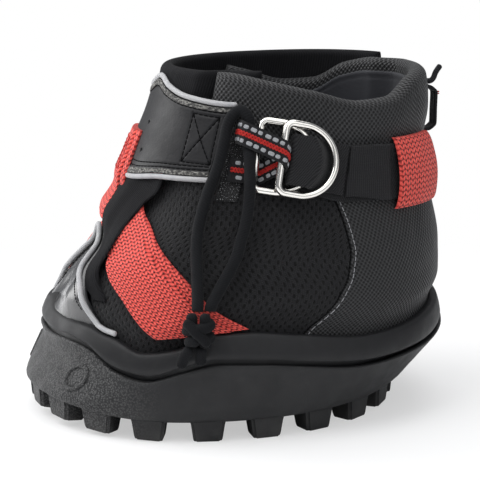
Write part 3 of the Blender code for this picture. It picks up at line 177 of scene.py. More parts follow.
# ---------------------------------------------------------------- camera and light
CAMERA_PLACE = (-20.0, 11.5, 0.850)
TARGET = Vector((0.004, 0.0, 0.066))
SENSOR_WIDTH, LENS = 36.0, 151.8
SHIFT_PIXELS, PICTURE_PIXELS = 2.0, 480.0
NEAREST, FARTHEST = 0.05, 20.0
WORLD_COLOUR, WORLD_STRENGTH, WHITE = (0.80, 0.82, 0.86, 1), 0.36, (1, 1, 1, 1)
FLOOR_REACH, FLOOR_COLOUR = 4.0, (0.94, 0.94, 0.945, 1)
FLOOR_FADE = (0.08, 0.34, 0.50, 1.0)
LIGHTS = (("key", (-74, 50, 0.9), (0.70, 0.70), 4.0), ("side", (-128, 24, 0.8), (0.55, 0.80), 5.2),
          ("fill", (12, 34, 1.1), (0.9, 0.9), 2.6), ("back", (160, 55, 1.1), (0.9, 0.6), 3.0),
          ("top", (-20, 86, 0.9), (0.9, 0.9), 4.0))


def aim(name, data, azimuth, elevation, distance):
    """A camera or light at a place round the target, turned to it."""
    thing = bpy.data.objects.new(name, data)
    bpy.context.scene.collection.objects.link(thing)
    azimuth, elevation = math.radians(azimuth), math.radians(elevation)
    back = Vector((math.sin(azimuth) * math.cos(elevation),
                   -math.cos(azimuth) * math.cos(elevation), math.sin(elevation)))
    thing.location = TARGET + back * distance
    thing.rotation_mode = "QUATERNION"
    thing.rotation_quaternion = (-back).to_track_quat("-Z", "Y")
    return thing


def make_camera():
    data = bpy.data.cameras.new("camera")
    data.sensor_width, data.lens = SENSOR_WIDTH, LENS
    data.shift_y = SHIFT_PIXELS / PICTURE_PIXELS
    data.clip_start, data.clip_end = NEAREST, FARTHEST
    bpy.context.scene.camera = aim("camera", data, *CAMERA_PLACE)


def make_lights():
    for name, place, size, power in LIGHTS:
        data = bpy.data.lights.new(name, "AREA")
        data.shape = "RECTANGLE"
        data.size, data.size_y = size
        data.energy = power
        aim(name, data, *place)


def make_world():
    world = bpy.data.worlds.new("studio")
    bpy.context.scene.world = world
    world.use_nodes = True
    world.node_tree.nodes.clear()
    nodes = Nodes(world.node_tree)
    seen = nodes.math("MAXIMUM", *nodes.add("LightPath", ["Is Camera Ray", "Is Transmission Ray"]))
    plain = nodes.add("Background", 0, Color=WORLD_COLOUR, Strength=WORLD_STRENGTH)
    mixed = nodes.add("MixShader", 0, seen, plain, nodes.add("Background", 0, Color=WHITE))
    nodes.feed(world.node_tree.nodes.new("ShaderNodeOutputWorld").inputs["Surface"], mixed)


def make_floor():
    """A pale floor that keeps the shadow near the boot, lightened there by a half white glow for the camera, and turns
    fully white for the camera further off.
    """
    mesh = bpy.data.meshes.new("floor")
    corners = [(x * FLOOR_REACH, y * FLOOR_REACH, 0) for x, y in ((-1, -1), (1, -1), (1, 1), (-1, 1))]
    mesh.from_pydata(corners, [], [(0, 1, 2, 3)])
    floor = bpy.data.objects.new("floor", mesh)
    bpy.context.scene.collection.objects.link(floor)
    look = Look("floor", 0.6, Specular_IOR_Level=0.2, Base_Color=FLOOR_COLOUR)
    far = look.step(look.add("VectorMath", "Value", look.spot(), operation="LENGTH"), *FLOOR_FADE)
    # Painted light: for camera rays the floor glows white, half near the boot, which lightens its shadow, and fully
    # further off.
    share = look.add("LightPath", "Is Camera Ray") * far
    mixed = look.add("MixShader", 0, share, Wire(look, look.shader.outputs[0]), look.add("Emission", 0, Color=WHITE))
    look.feed(look.tree.nodes["Material Output"].inputs["Surface"], mixed)
    mesh.materials.append(look.mat)


make_camera()
make_world()
make_floor()
make_lights()
bpy.context.scene.view_settings.view_transform = "Standard"

# ---------------------------------------------------------------- the boot's form, as the CAD has it
HEEL, TOE, FULL = 0.0, 180.0, 360.0
UPPER_LENGTH, UPPER_WIDTH, UPPER_HEIGHT = 0.168, 0.144, 0.145
SOLE_LENGTH, SOLE_WIDTH = 0.168, 0.145
LIP_HEIGHT = 0.038
CLEARANCE = 0.0003
# height, half length, half width, centre and roundness, as shares
UPPER_SECTION_SHARES = (
    (0.00, 0.923, 0.935, -0.018, 2.05), (0.10, 0.923, 0.935, -0.018, 2.05),
    (0.21, 1.000, 1.000, 0.018, 2.28), (0.31, 0.976, 0.972, 0.027, 2.35),
    (0.49, 0.879, 0.861, 0.079, 2.35), (0.635, 0.773, 0.750, 0.110, 2.35),
    (0.76, 0.714, 0.681, 0.131, 2.35), (0.905, 0.668, 0.639, 0.156, 2.35),
    (1.00, 0.652, 0.635, 0.162, 2.35))
SOLE_SECTION_SHARES = (
    (0.00, 0.915, 0.890, -0.046, 1.90), (0.21, 0.940, 0.910, -0.045, 1.90),
    (0.37, 0.964, 0.945, -0.036, 2.05), (0.60, 0.978, 0.976, -0.006, 2.20),
    (0.815, 0.990, 1.000, 0.023, 2.30), (1.00, 1.012, 1.014, 0.029, 2.35))
TOE_ROUNDNESS_SHARE = 2.1
LIP_LINE_SHARES = (
    (0.0, 0.96), (0.09, 0.97), (0.14, 0.93), (0.20, 0.76), (0.27, 0.675), (0.32, 0.79),
    (0.37, 0.88), (0.44, 0.865), (0.50, 0.824), (0.62, 0.745), (0.74, 0.80), (0.85, 0.90), (1.0, 1.0))
RAND_LINE_SHARES = (
    (0.0, 1.38), (0.04, 1.34), (0.075, 1.21), (0.14, 1.20), (0.18, 1.09), (0.217, 1.0),
    (0.25, 0.93), (0.31, 0.995), (0.367, 1.147), (0.42, 1.16), (0.50, 1.108), (0.62, 1.026),
    (0.70, 1.06), (0.76, 1.118), (0.85, 1.184), (1.0, 1.237))
RAND_NEAR_DROP = ((168.0, 0.0), (181.0, 0.22), (187.0, 0.19), (194.0, 0.07), (206.0, 0.08), (217.0, 0.0))
PLATE_UNDERSIDE, PLATE_THICKNESS = 0.0082, 0.0078
ROCKER_RISE, HEEL_RISE = 0.0050, 0.0024
ROCKER_START, HEEL_RISE_START = -0.27 * SOLE_LENGTH, 0.18 * SOLE_LENGTH
LUG_COUNT = 20
LUG_LENGTH, LUG_DEPTH, LUG_INSET, LUG_ROOT = 0.0145, 0.0125, 0.0012, 0.0016
LUG_TAPER_SHARE = 0.80
LUG_CORNER_SHARES = ((-0.5, 0.0), (0.5, 0.0), (0.42, 1.0), (-0.42, 1.0))
INNER_LUG_COUNTS = (1, 2, 3, 2, 1)
INNER_LUG_PITCH, INNER_LUG_RADIUS = 0.0235, 0.0088
GROOVE_HEIGHT = 0.0024
BOSS_TURNS = (155.0, 205.0)
BOSS_HEIGHT, BOSS_RADIUS, BOSS_RIM, BOSS_RAISE = 0.0225, 0.0063, 0.0021, 0.0009
RAND_THICKNESS, RAND_LEG_DEPTH = 0.0032, 0.0045
TUCK_GAP, TUCK_RISE = 0.0006, 0.011
PANEL_THICKNESS, LINING_THICKNESS, LINING_GAP = 0.0018, 0.0024, 0.0012
PANEL_TOP = 0.101
DIP_DEPTH = 0.0052
DIP_TURNS = (16.0, 46.0)
DIP_RISE_HEIGHTS, DIP_FALL_HEIGHTS = (0.056, 0.086), (0.112, 0.127)
SLACK_DEPTH = 0.0094
SLACK_FAR_TURNS, SLACK_NEAR_TURNS = (132.0, 158.0), (176.0, 200.0)
SLACK_RISE_HEIGHTS, SLACK_FALL_HEIGHTS = (0.042, 0.056), (0.068, 0.085)
LEG_OUT = -0.0020
FLOOR_HEIGHT = PLATE_UNDERSIDE + PLATE_THICKNESS
PANEL_BOTTOM = FLOOR_HEIGHT + 0.0026


def curve(table, at, column=1):
    """A smooth curve through a table's rows, read at any number of places."""
    rows = np.asarray(table, float)
    xs, ys = rows[:, 0], rows[:, column]
    at = np.clip(np.asarray(at, float), xs[0], xs[-1])
    slopes = np.diff(ys) / np.diff(xs)
    lean = np.zeros(len(xs))
    a, b = slopes[:-1], slopes[1:]
    same = a * b > 0
    lean[1:-1][same] = 2 * a[same] * b[same] / (a[same] + b[same])
    k = np.clip(np.searchsorted(xs, at, side="right") - 1, 0, len(xs) - 2)
    gap = xs[k + 1] - xs[k]
    return bend(ys[k], ys[k + 1], lean[k] * gap, lean[k + 1] * gap, (at - xs[k]) / gap)


def bend(a, b, lean_a, lean_b, u):
    """The cubic from a to b that leaves and arrives with these slopes."""
    return (a * (1 + 2 * u) * (1 - u) ** 2 + b * u * u * (3 - 2 * u)
            + lean_a * u * (1 - u) ** 2 - lean_b * u * u * (1 - u))


def smooth(value, low, high):
    u = np.clip((value - low) / (high - low), 0.0, 1.0)
    return u * u * (3 - 2 * u)


def window(value, rise, fall):
    """0, then 1 past the rise, then 0 again past the fall."""
    return smooth(value, *rise) - smooth(value, *fall)


def between(ends, share):
    return ends[0] + (ends[1] - ends[0]) * share


def bell(value, width):
    return np.exp(-(value / width) ** 2)


def unit(vector):
    return vector / np.linalg.norm(vector, axis=-1, keepdims=True)


def full_turn(steps):
    return np.linspace(HEEL, FULL, steps + 1)[:-1]


def from_toe(turn):
    return np.mod(turn, FULL) - TOE


def half_share(turn):
    return np.abs(from_toe(turn)) / TOE


def form(turn, z, out, table, length, width, full_height):
    at = z / full_height
    half_length = curve(table, at, 1) * length / 2 + out
    half_width = curve(table, at, 2) * width / 2 + out
    centre = curve(table, at, 3) * length
    c, s = np.cos(np.radians(turn)), np.sin(np.radians(turn))
    power = np.where(c > 0, curve(table, at, 4), TOE_ROUNDNESS_SHARE)
    reach = (np.abs(c) ** power + np.abs(s) ** power) ** (-1 / power)
    x, y, z = np.broadcast_arrays(centre + half_length * reach * c, half_width * reach * s, z)
    return np.stack([x, y, z], -1)


def last(turn, z, out=0.0):
    return form(turn, np.asarray(z, float), out, UPPER_SECTION_SHARES, UPPER_LENGTH, UPPER_WIDTH, UPPER_HEIGHT)


def sole(turn, z, out=0.0):
    return form(turn, np.asarray(z, float), out, SOLE_SECTION_SHARES, SOLE_LENGTH, SOLE_WIDTH, LIP_HEIGHT)


def lip_height(turn):
    return curve(LIP_LINE_SHARES, half_share(turn)) * LIP_HEIGHT


def rand_height(turn):
    return (curve(RAND_LINE_SHARES, half_share(turn)) - curve(RAND_NEAR_DROP, np.mod(turn, FULL))) * LIP_HEIGHT


def tuck(turn, z):
    low = rand_height(turn)
    return (RAND_THICKNESS + TUCK_GAP) * (1 - smooth(z, low, low + TUCK_RISE))


def dip(turn, z):
    across = 1 - smooth(np.abs(from_toe(turn)), *DIP_TURNS)
    slack = (SLACK_DEPTH * window(turn, SLACK_FAR_TURNS, SLACK_NEAR_TURNS)
             * window(z, SLACK_RISE_HEIGHTS, SLACK_FALL_HEIGHTS))
    return DIP_DEPTH * across * window(z, DIP_RISE_HEIGHTS, DIP_FALL_HEIGHTS) + slack


def wall(turn, z, out=0.0):
    z = np.asarray(z, float)
    return last(turn, z, out - tuck(turn, z) - dip(turn, z))


# ---------------------------------------------------------------- mesh tools
RIM = np.array([0.0, 0.10, 0.30, 0.65])


def span(count, length):
    """Shares from 0 to 1 with extra ones just inside both edges of a length in mm."""
    edge = RIM / length
    return np.concatenate([edge, np.linspace(edge[-1], 1 - edge[-1], count)[1:-1], (1 - edge)[::-1]])


def ripple(x, y, seed, size):
    """An uneven surface, the same each run, with swells of about one size in mm."""
    rng = np.random.RandomState(seed)
    total = 0.0
    for layer in range(2):
        for _ in range(6):
            a, phase, pace = rng.uniform(0, math.tau), rng.uniform(0, math.tau), rng.uniform(0.7, 1.3)
            k = math.tau / size * 1.8 ** layer * pace
            total = total + np.sin((x * math.cos(a) + y * math.sin(a)) * k + phase) / (6 * 1.7 ** layer)
    return total


def creases(x, y, rows):
    """Soft ridges: each row has its height, middle, angle, length and width."""
    total = 0.0
    for height, x0, y0, angle, length, width in rows:
        c, s = math.cos(math.radians(angle)), math.sin(math.radians(angle))
        total = total + height * bell((x - x0) * c + (y - y0) * s, length) * bell((y - y0) * c - (x - x0) * s, width)
    return total


def along_rows(grid):
    """Length in mm along a grid's first way."""
    return np.concatenate([np.zeros((1, grid.shape[1])),
                           np.cumsum(np.linalg.norm(np.diff(grid, axis=0), axis=2), 0)], 0) / MM


def metric(grid):
    """Lengths in mm along a grid's two ways, from its middle, and the distance from its rim."""
    x, y = along_rows(grid), along_rows(grid.transpose(1, 0, 2)).T
    gap = np.minimum(np.minimum(x, x[-1:] - x), np.minimum(y, y[:, -1:] - y))
    return x - x[-1:] / 2, y - y[:, -1:] / 2, gap


def add_piece(name, points, faces, x, y, look, body="boot", stands_for=(), rim=None, sharp=50.0):
    """A new piece of the object, on its body, with its material."""
    material, slot = look
    mesh = bpy.data.meshes.new(name)
    mesh.from_pydata(points.tolist(), [], faces)
    layer = mesh.uv_layers.new(name="UVMap")
    corner = np.zeros(len(mesh.loops), np.int32)
    mesh.loops.foreach_get("vertex_index", corner)
    layer.data.foreach_set("uv", np.stack([x, y], -1).astype(np.float32)[corner].ravel())
    if rim is not None:
        attribute = mesh.attributes.new("rim", "FLOAT", "POINT")
        attribute.data.foreach_set("value", rim.astype(np.float32))
    mesh.materials.append(material)
    mesh.shade_smooth()
    mesh.set_sharp_from_angle(angle=math.radians(sharp))
    piece = bpy.data.objects.new(name, mesh)
    bpy.context.scene.collection.objects.link(piece)
    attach(piece, body)
    if stands_for:
        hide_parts(*stands_for)
    return piece


def grid_faces(rows, cols, wrap_u=False, wrap_v=False, start=0, flip=False, caps=False):
    i = np.arange(rows if wrap_u else rows - 1)
    j = np.arange(cols if wrap_v else cols - 1)
    i, j = np.meshgrid(i, j, indexing="ij")
    i2, j2 = (i + 1) % rows, (j + 1) % cols
    quads = np.stack([i * cols + j, i2 * cols + j, i2 * cols + j2, i * cols + j2], -1).reshape(-1, 4) + start
    faces = (quads[:, ::-1] if flip else quads).tolist()
    if caps:
        faces.append(list(range(start, start + cols)))
        faces.append(list(range(start + rows * cols - 1, start + (rows - 1) * cols - 1, -1)))
    return faces


def sheet(name, outer, inner, size, look, turned, **extra):
    """A closed sheet between two grids of points, with its metric for UVs and rim."""
    rows, cols = outer.shape[:2]
    count = rows * cols
    faces = grid_faces(rows, cols, flip=turned) + grid_faces(rows, cols, start=count, flip=not turned)
    edge = [*range(cols), *range(2 * cols - 1, count, cols), *range(count - 2, count - cols - 1, -1),
            *range(count - 2 * cols, 0, -cols)]
    for a, b in zip(edge, edge[1:] + edge[:1]):
        faces.append((a, a + count, b + count, b) if turned else (a, b, b + count, a + count))
    x, y, gap = (np.tile(part.ravel(), 2) for part in size)
    points = np.concatenate([outer.reshape(-1, 3), inner.reshape(-1, 3)])
    return add_piece(name, points, faces, x, y, look, rim=gap, **extra)


def plate(name, place, us, vs, thick, look, base=0.0, relief=None, round_mm=None, turned=False, **extra):
    """A closed sheet with rolled edges. place(u, v, out) gives its points; relief adds mm."""
    u, v = np.meshgrid(us, vs, indexing="ij")
    x, y, gap = metric(place(u, v, np.full_like(u, base + thick / 2)))
    reach = round_mm or thick / MM * 0.6
    out = base + thick * (0.3 + 0.7 * np.sqrt(1 - (1 - np.clip(gap / reach, 0, 1)) ** 2))
    if relief is not None:
        out = out + relief(x, y, u, v, gap) * MM
    return sheet(name, place(u, v, out), place(u, v, np.full_like(u, base)), (x, y, gap), look, turned, **extra)


def loft(name, grid, look, wrap_u=True, wrap_v=True, caps=False, flip=False, **extra):
    """A solid through loops: the grid's first way goes from loop to loop, its second round each."""
    return many(name, [grid], look, wrap_u, wrap_v, caps, flip, **extra)


def many(name, parts, look, wrap_u=False, wrap_v=True, caps=True, flip=False, **extra):
    """One piece out of many small lofts."""
    points, faces, xs, ys, start = [], [], [], [], 0
    for grid in parts:
        rows, cols = grid.shape[:2]
        faces += grid_faces(rows, cols, wrap_u, wrap_v, start, flip, caps and not wrap_u)
        x, y, _ = metric(grid)
        points.append(grid.reshape(-1, 3))
        xs.append(x.ravel())
        ys.append(y.ravel())
        start += rows * cols
    return add_piece(name, np.concatenate(points), faces, np.concatenate(xs), np.concatenate(ys), look, **extra)


def columns(rings):
    """Rings turned into a grid whose first way goes round the boot."""
    return np.stack(rings).transpose(1, 0, 2)


def smooth_route(route, spacing):
    """Points a set distance apart on a smooth curve through a route's own points."""
    p = np.asarray(route, float)
    ends = np.concatenate([p[:1], p, p[-1:]])
    u = (np.arange(24) / 24)[:, None]
    fine = []
    for k in range(len(p) - 1):
        p0, p1, p2, p3 = ends[k:k + 4]
        fine.append(0.5 * (2 * p1 + (p2 - p0) * u + (2 * p0 - 5 * p1 + 4 * p2 - p3) * u * u
                           + (3 * p1 - p0 - 3 * p2 + p3) * u ** 3))
    fine = np.concatenate(fine + [p[-1:]])
    at = np.concatenate([[0], np.cumsum(np.linalg.norm(np.diff(fine, axis=0), axis=1))])
    want = np.linspace(0, at[-1], max(int(round(at[-1] / spacing)), 2) + 1)
    return np.stack([np.interp(want, at, fine[:, c]) for c in range(p.shape[1])], -1)


def sweep(path, radius, sides=20, closed=False, squash=1.0, up=None, ends=True):
    """Loops of a round bar along a path, with rounded ends where it is open."""
    path = np.asarray(path, float)
    radius = np.broadcast_to(np.asarray(radius, float), len(path)).copy()
    if not closed and ends:
        first, final = unit(path[1] - path[0]), unit(path[-1] - path[-2])
        steps = np.radians([88, 60, 30])
        head = [path[0] - first * radius[0] * math.sin(a) * 0.7 for a in steps]
        tail = [path[-1] + final * radius[-1] * math.sin(a) * 0.7 for a in steps[::-1]]
        radius = np.concatenate([radius[0] * np.cos(steps), radius, radius[-1] * np.cos(steps[::-1])])
        path = np.concatenate([head, path, tail])
    along = unit(np.roll(path, -1, 0) - np.roll(path, 1, 0) if closed else np.gradient(path, axis=0))
    normal = np.cross(along[0], (0.3, 0.5, 0.8)) if up is None else np.asarray(up, float)
    angle = (np.arange(sides) * math.tau / sides)[:, None]
    loops = []
    for point, ahead, r in zip(path, along, radius):
        normal = unit(normal - ahead * normal.dot(ahead))
        side = np.cross(ahead, normal)
        loops.append(point + r * (np.cos(angle) * normal * squash + np.sin(angle) * side))
    return np.array(loops)


def pipe(name, path, radius, look, closed=False, sides=20, up=None, ends=True, **extra):
    loops = sweep(path, radius, sides, closed, up=up, ends=ends)
    return loft(name, loops, look, wrap_u=closed, caps=not closed, **extra)


def stitch_row(place, length_mm, stitch):
    """Loops of small thread stitches along a line: place(t) gives points and the way out.

    stitch has the step and the thread's length in mm, its width, and the share of it that is sunk."""
    pitch, length, width, sink = stitch
    parts = []
    steps = max(int(round(length_mm / pitch)), 1)
    bow = np.sin(np.linspace(0, math.pi, 5))[:, None]
    for k in range(steps):
        a, b = ((k + 0.5 + sign * length / pitch / 2) / steps for sign in (-1, 1))
        points, out = place(np.linspace(a, b, 5))
        parts.append(sweep(points + out * (bow * width * 0.35 - width * sink), width / 2, sides=6))
    return parts


# ---------------------------------------------------------------- looks
def rubber_look(name, base, low, high, stipple):
    look = Look(name, Specular_IOR_Level=0.30)
    cloud, height = look.noise(55.0, 4.0), look.noise(1400.0, 2.0)
    dust = look.step(look.noise(160.0, 5.0, 0.7), 0.52, 0.80)
    colour = look.mix(cloud, [c * 0.80 for c in base], [c * 1.35 for c in base])
    colour = look.mix(dust * 0.10, colour, (0.070, 0.070, 0.069))
    if stipple:
        x, _, z = look.split(look.spot())
        toe, cells = look.step(x, -0.046, -0.072), look.cells(1300.0)
        colour = look.mix(toe * look.step(cells, 0.70, 0.10, 0.0, 0.9), colour, (0.075, 0.075, 0.075))
        height = height + cells * toe * 6.0
        low_dust = look.step(z, 0.011, 0.001) * look.step(cloud, 0.35, 0.65)
        colour = look.mix(low_dust * 0.35, colour, (0.075, 0.073, 0.070))
    rough = look.step(look.noise(120.0, 4.0), 0.3, 0.7, low, high)
    return look.done(name, colour, rough, look.bump(height, 0.00012, 0.45))


def gloss_look():
    look = Look("toe_cap_gloss", 0.3, Specular_IOR_Level=0.7, Coat_Weight=0.7, Coat_Roughness=0.20)
    colour = look.mix(look.noise(70.0), (0.005, 0.005, 0.0058), (0.010, 0.010, 0.0112))
    colour = look.mix(look.step(look.rim(), 1.6, 0.0) * 0.4, colour, (0.07, 0.07, 0.075))
    rough = look.step(look.noise(1.0, 3.0, 0.5, (90, 600, 140)), 0.35, 0.75, 0.26, 0.42)
    swell = look.bump(look.noise(60.0, 2.0), 0.0006, 0.15)
    return look.done("toe_cap_gloss", colour, rough, look.bump(look.cells(620.0), 0.00006, 0.30, Normal=swell))


def air_mesh_look():
    """Knitted mesh with rows of small oval holes, each row shifted half a hole."""
    look = Look("air_mesh", 0.80, Specular_IOR_Level=0.22, Sheen_Weight=0.05, Sheen_Roughness=0.4)
    x, y = look.uv()
    row = y / 2.15
    col = x / 3.5 + look.math("MODULO", look.math("FLOOR", row + 400.0), 2.0) * 0.5
    across, up = look.off_middle(col + 400.0), look.off_middle(row + 400.0)
    solid = look.step(look.math("SQRT", (across * 2.9) ** 2.0 + (up * 1.05) ** 2.0), 0.28, 0.60)
    height = look.wave(y + abs(across) * 1.6, 0.72) * 0.45 + look.wave(x, 0.875) * 0.25
    # The thread is painted darker in its hollows and lighter on its crowns: painted shade and light.
    thread = look.mix(height, (0.0040, 0.0040, 0.0046), (0.0200, 0.0200, 0.0220))
    thread = look.mix(look.step(look.noise(90.0), 0.35, 0.7, 0.0, 0.5), thread, (0.0120, 0.0120, 0.0130))
    # The holes are painted near black: painted shade in them.
    colour = look.mix(solid, (0.0010, 0.0010, 0.0012), thread)
    return look.done("air_mesh", colour, None, look.bump(solid + height * 0.6, 0.00050, 0.85))


def ballistic_look():
    """Coarse nylon in a diamond weave: raised knots painted bright, painted highlight, round small pits painted dark,
    painted shade.
    """
    look = Look("ballistic_cloth", 0.55, Specular_IOR_Level=0.40, Sheen_Weight=0.05, Sheen_Roughness=0.35)
    x, y = look.uv()
    warp, weft = look.wave(x / 2.0 + y / 2.3, 1.0), look.wave(x / 2.0 - y / 2.3, 1.0)
    pit = warp ** 0.9 * weft ** 0.9
    knot = (1.0 - warp) * (1.0 - weft)
    height = look.math("SUBTRACT", knot * 0.38 + 0.62, pit * 0.95, clamp=True)
    # Colour follows the weave's height: painted shade in the pits, painted highlight on the knots.
    colour = look.mix(height, (0.0008, 0.0008, 0.0010), (0.029, 0.0295, 0.0315))
    colour = look.mix(look.step(look.noise(110.0, 4.0), 0.3, 0.75, 0.0, 0.30), colour, (0.012, 0.012, 0.013))
    rough = look.step(height, 0.2, 0.9, 0.85, 0.40)
    return look.done("ballistic_cloth", colour, rough, look.bump(height, 0.00042, 0.9))


def knit_look():
    look = Look("knit", 0.92, Specular_IOR_Level=0.06, Sheen_Weight=0.03, Sheen_Roughness=0.5)
    x, y = look.uv()
    rib = abs(look.off_middle(x / 1.1))
    height = look.wave(y + rib * 1.0, 0.62) * 0.5 + rib * 1.4
    # Colour follows the knit's height: painted shade in its hollows, painted light on its ribs.
    return look.woven("knit", height, (0.0014, 0.0014, 0.0017), (0.0165, 0.0165, 0.0182), (0.00022, 0.7),
                      (look.noise(140.0, 4.0), 0.35, 0.75, 0.0, 0.5), (0.0070, 0.0070, 0.0078))


def lining_look():
    look = Look("smooth_lining", 0.7, Specular_IOR_Level=0.30, Sheen_Weight=0.12, Sheen_Roughness=0.35)
    x, y = look.uv()
    cloud = look.noise(60.0)
    colour = look.mix(cloud, (0.013, 0.0135, 0.017), (0.030, 0.031, 0.037))
    nap = look.wave(x, 0.55) * look.wave(y, 0.55) + look.noise(900.0, 2.0)
    return look.done("smooth_lining", colour, None,
                     look.bump(nap, 0.00010, 0.5, Normal=look.bump(cloud, 0.0012, 0.3)))


def leather_look():
    look = Look("strap_leather", 0.34, Specular_IOR_Level=0.22)
    wide = look.noise(75.0, 4.0)
    scuffs = look.step(look.noise(330.0, 4.0, 0.7), 0.56, 0.80)
    colour = look.mix(wide, (0.0046, 0.0046, 0.0056), (0.0105, 0.0105, 0.0120))
    colour = look.mix(scuffs * 0.22, colour, (0.060, 0.060, 0.064))
    colour = look.mix(look.step(look.rim(), 0.9, 0.1) * 0.5, colour, (0.010, 0.010, 0.011))
    normal = look.bump(look.cells(1150.0), 0.00008, 0.45, Normal=look.bump(wide, 0.0012, 0.35))
    return look.done("strap_leather", colour, look.step(wide, 0.3, 0.7, 0.34, 0.52), normal)


def piping_look():
    look = Look("reflective_piping", 0.45, Specular_IOR_Level=0.6)
    # Colour follows the thread ribs' height: painted shade between them, painted light on them.
    return look.woven("reflective_piping", look.wave(look.uv()[0], 0.62), (0.30, 0.30, 0.305), (0.42, 0.42, 0.43),
                      (0.00012, 0.6), (look.noise(260.0, 4.0), 0.45, 0.75, 0.0, 0.5), (0.25, 0.26, 0.28))


def flange_look_made():
    """The worn edge tape that holds the piping: grey cloth with pale threads."""
    look = Look("piping_flange", 0.75)
    speck = look.noise(1.0, 3.0, 0.5, (900, 900, 1500))
    colour = look.mix(look.step(speck, 0.42, 0.62), (0.012, 0.012, 0.012), (0.20, 0.195, 0.18))
    worn = look.step(look.noise(300.0, 4.0, 0.7), 0.45, 0.65, 0.0, 0.75)
    colour = look.mix(worn, colour, (0.035, 0.034, 0.032))
    return look.done("reflective_piping", colour, None, look.bump(speck, 0.0003, 0.8))


def webbing_look(name, ribbed=False):
    """Red webbing: slanted picks that turn over at each warp column."""
    pitch, column = 2.1, 2.9
    look = Look(name, 0.72, Sheen_Weight=0.10, Sheen_Roughness=0.35, Specular_IOR_Level=0.30)
    x, y = look.uv()[::-1] if ribbed else look.uv()
    fold = abs(look.off_middle(y / column + 50.0))
    bead = look.wave(look.math("MULTIPLY_ADD", fold, pitch * 1.1, x), pitch)
    edge = abs(fold - 0.25)
    height = bead ** 0.55 * look.math("MULTIPLY_ADD", look.step(edge, 0.25, 0.06), 0.62, 0.38)
    pit = look.step(edge, 0.10, 0.21) * look.step(bead, 0.62, 0.20)
    # Colour follows the weave's height: painted shade in its hollows and painted highlight on the raised picks.
    colour = look.mix(look.step(height, 0.05, 0.75), (0.30, 0.020, 0.017), (0.80, 0.100, 0.078))
    # The pits are painted near black, painted shade in them, and the rim painted darker, painted shade at the webbing's
    # edge.
    for share, tint in ((look.step(look.noise(170.0), 0.35, 0.7, 0.0, 0.30), (0.62, 0.062, 0.048)),
                        (look.step(look.noise(1500.0, 2.0), 0.62, 0.8, 0.0, 0.30), (0.88, 0.30, 0.24)),
                        (pit * 0.95, (0.050, 0.004, 0.003)),
                        (look.step(look.rim(), 0.8, 0.1) * 0.35, (0.34, 0.022, 0.018))):
        colour = look.mix(share, colour, tint)
    return look.done("red_webbing", colour, None, look.bump(height - pit * 0.5, 0.00048, 0.9))


def strap_look():
    look = Look("closure_strap_cloth", 0.80, Specular_IOR_Level=0.2, Sheen_Weight=0.08, Sheen_Roughness=0.4)
    x, y = look.uv()
    height = look.wave(x, 0.95) * 0.8 + look.wave(y, 0.62) * 0.35
    # Colour follows the weave's height: painted shade in its hollows, painted light on its crowns.
    return look.woven("closure_strap_cloth", height, (0.0030, 0.0030, 0.0036), (0.0205, 0.0205, 0.0222),
                      (0.00022, 0.75), (look.noise(150.0, 4.0), 0.4, 0.75, 0.0, 0.35), (0.016, 0.016, 0.017))


def nickel_look():
    look = Look("nickel", 0.12, Metallic=1.0)
    cloud = look.noise(230.0, 4.0)
    colour = look.mix(cloud, (0.86, 0.84, 0.80), (0.74, 0.72, 0.68))
    return look.done("nickel", colour, look.step(cloud, 0.3, 0.8, 0.07, 0.24),
                     look.bump(look.noise(1700.0, 2.0), 0.00002, 0.25))


def ribbon_look(name):
    look = Look(name, 0.78, Specular_IOR_Level=0.2, Sheen_Weight=0.06, Sheen_Roughness=0.4)
    x, y = look.uv()
    height = look.wave(x, 0.55) ** 0.7 * look.math("MULTIPLY_ADD", look.wave(y, 0.8), 0.5, 0.5)
    # Colour follows the weave's height: painted shade in its hollows, painted light on its crowns.
    return look.woven("tab_ribbon", height, (0.003, 0.003, 0.0035), (0.019, 0.019, 0.021), (0.00020, 0.75))


def hook_look():
    look = Look("hook_patch", 0.55, Specular_IOR_Level=0.3)
    x, y = look.uv()
    # Painted highlight: the hook tips are painted lighter, and near white where fine noise allows, as glints.
    tips = look.step(look.wave(x, 0.95) * look.wave(y, 0.85), 0.45, 0.85)
    painted_glint = look.step(look.noise(2300.0, 2.0), 0.56, 0.68)
    colour = look.mix(tips, (0.004, 0.004, 0.0045), (0.030, 0.030, 0.032))
    colour = look.mix(painted_glint * tips, colour, (0.55, 0.56, 0.58))
    return look.done("hook_patch", colour, None, look.bump(tips, 0.0005, 1.0))


def glint_look_made():
    look = Look("hook_plastic_painted_glints", 0.12, Specular_IOR_Level=0.9)
    # Painted glints: noise spots on the hooks are painted near white.
    painted_glint_spots = look.step(look.noise(2600.0, 1.0), 0.5, 0.62)
    return look.done("hook_patch", look.mix(painted_glint_spots, (0.02, 0.02, 0.022), (0.45, 0.46, 0.48)))


def cord_look(name, base, tip, pitch=1.15, around=14.4):
    """Fine braided cord: strands that cross both ways round it."""
    look = Look(name, 0.85, Specular_IOR_Level=0.10, Sheen_Weight=0.04, Sheen_Roughness=0.4)
    x, y = look.uv()
    turn = y * (pitch * 12.0 / around)
    strand = look.math("MAXIMUM", look.wave(x + turn, pitch) ** 1.6, look.wave(x - turn, pitch) ** 1.6)
    # Colour follows the strands' height: painted shade between them, painted light on their crowns.
    return look.woven("cord", strand, base, tip, (0.00014, 0.6), (look.noise(200.0), 0.4, 0.7, 0.0, 0.4), tip)


def thread_look(name, slot, base, tip, roughness=0.6):
    look = Look(name, roughness, Specular_IOR_Level=0.12)
    x, y = look.uv()
    # Colour follows the twist's height: painted shade in its grooves, painted light on its plies.
    return look.woven(slot, look.wave(x + y * 1.2, 0.45), base, tip, (0.0001, 0.6))


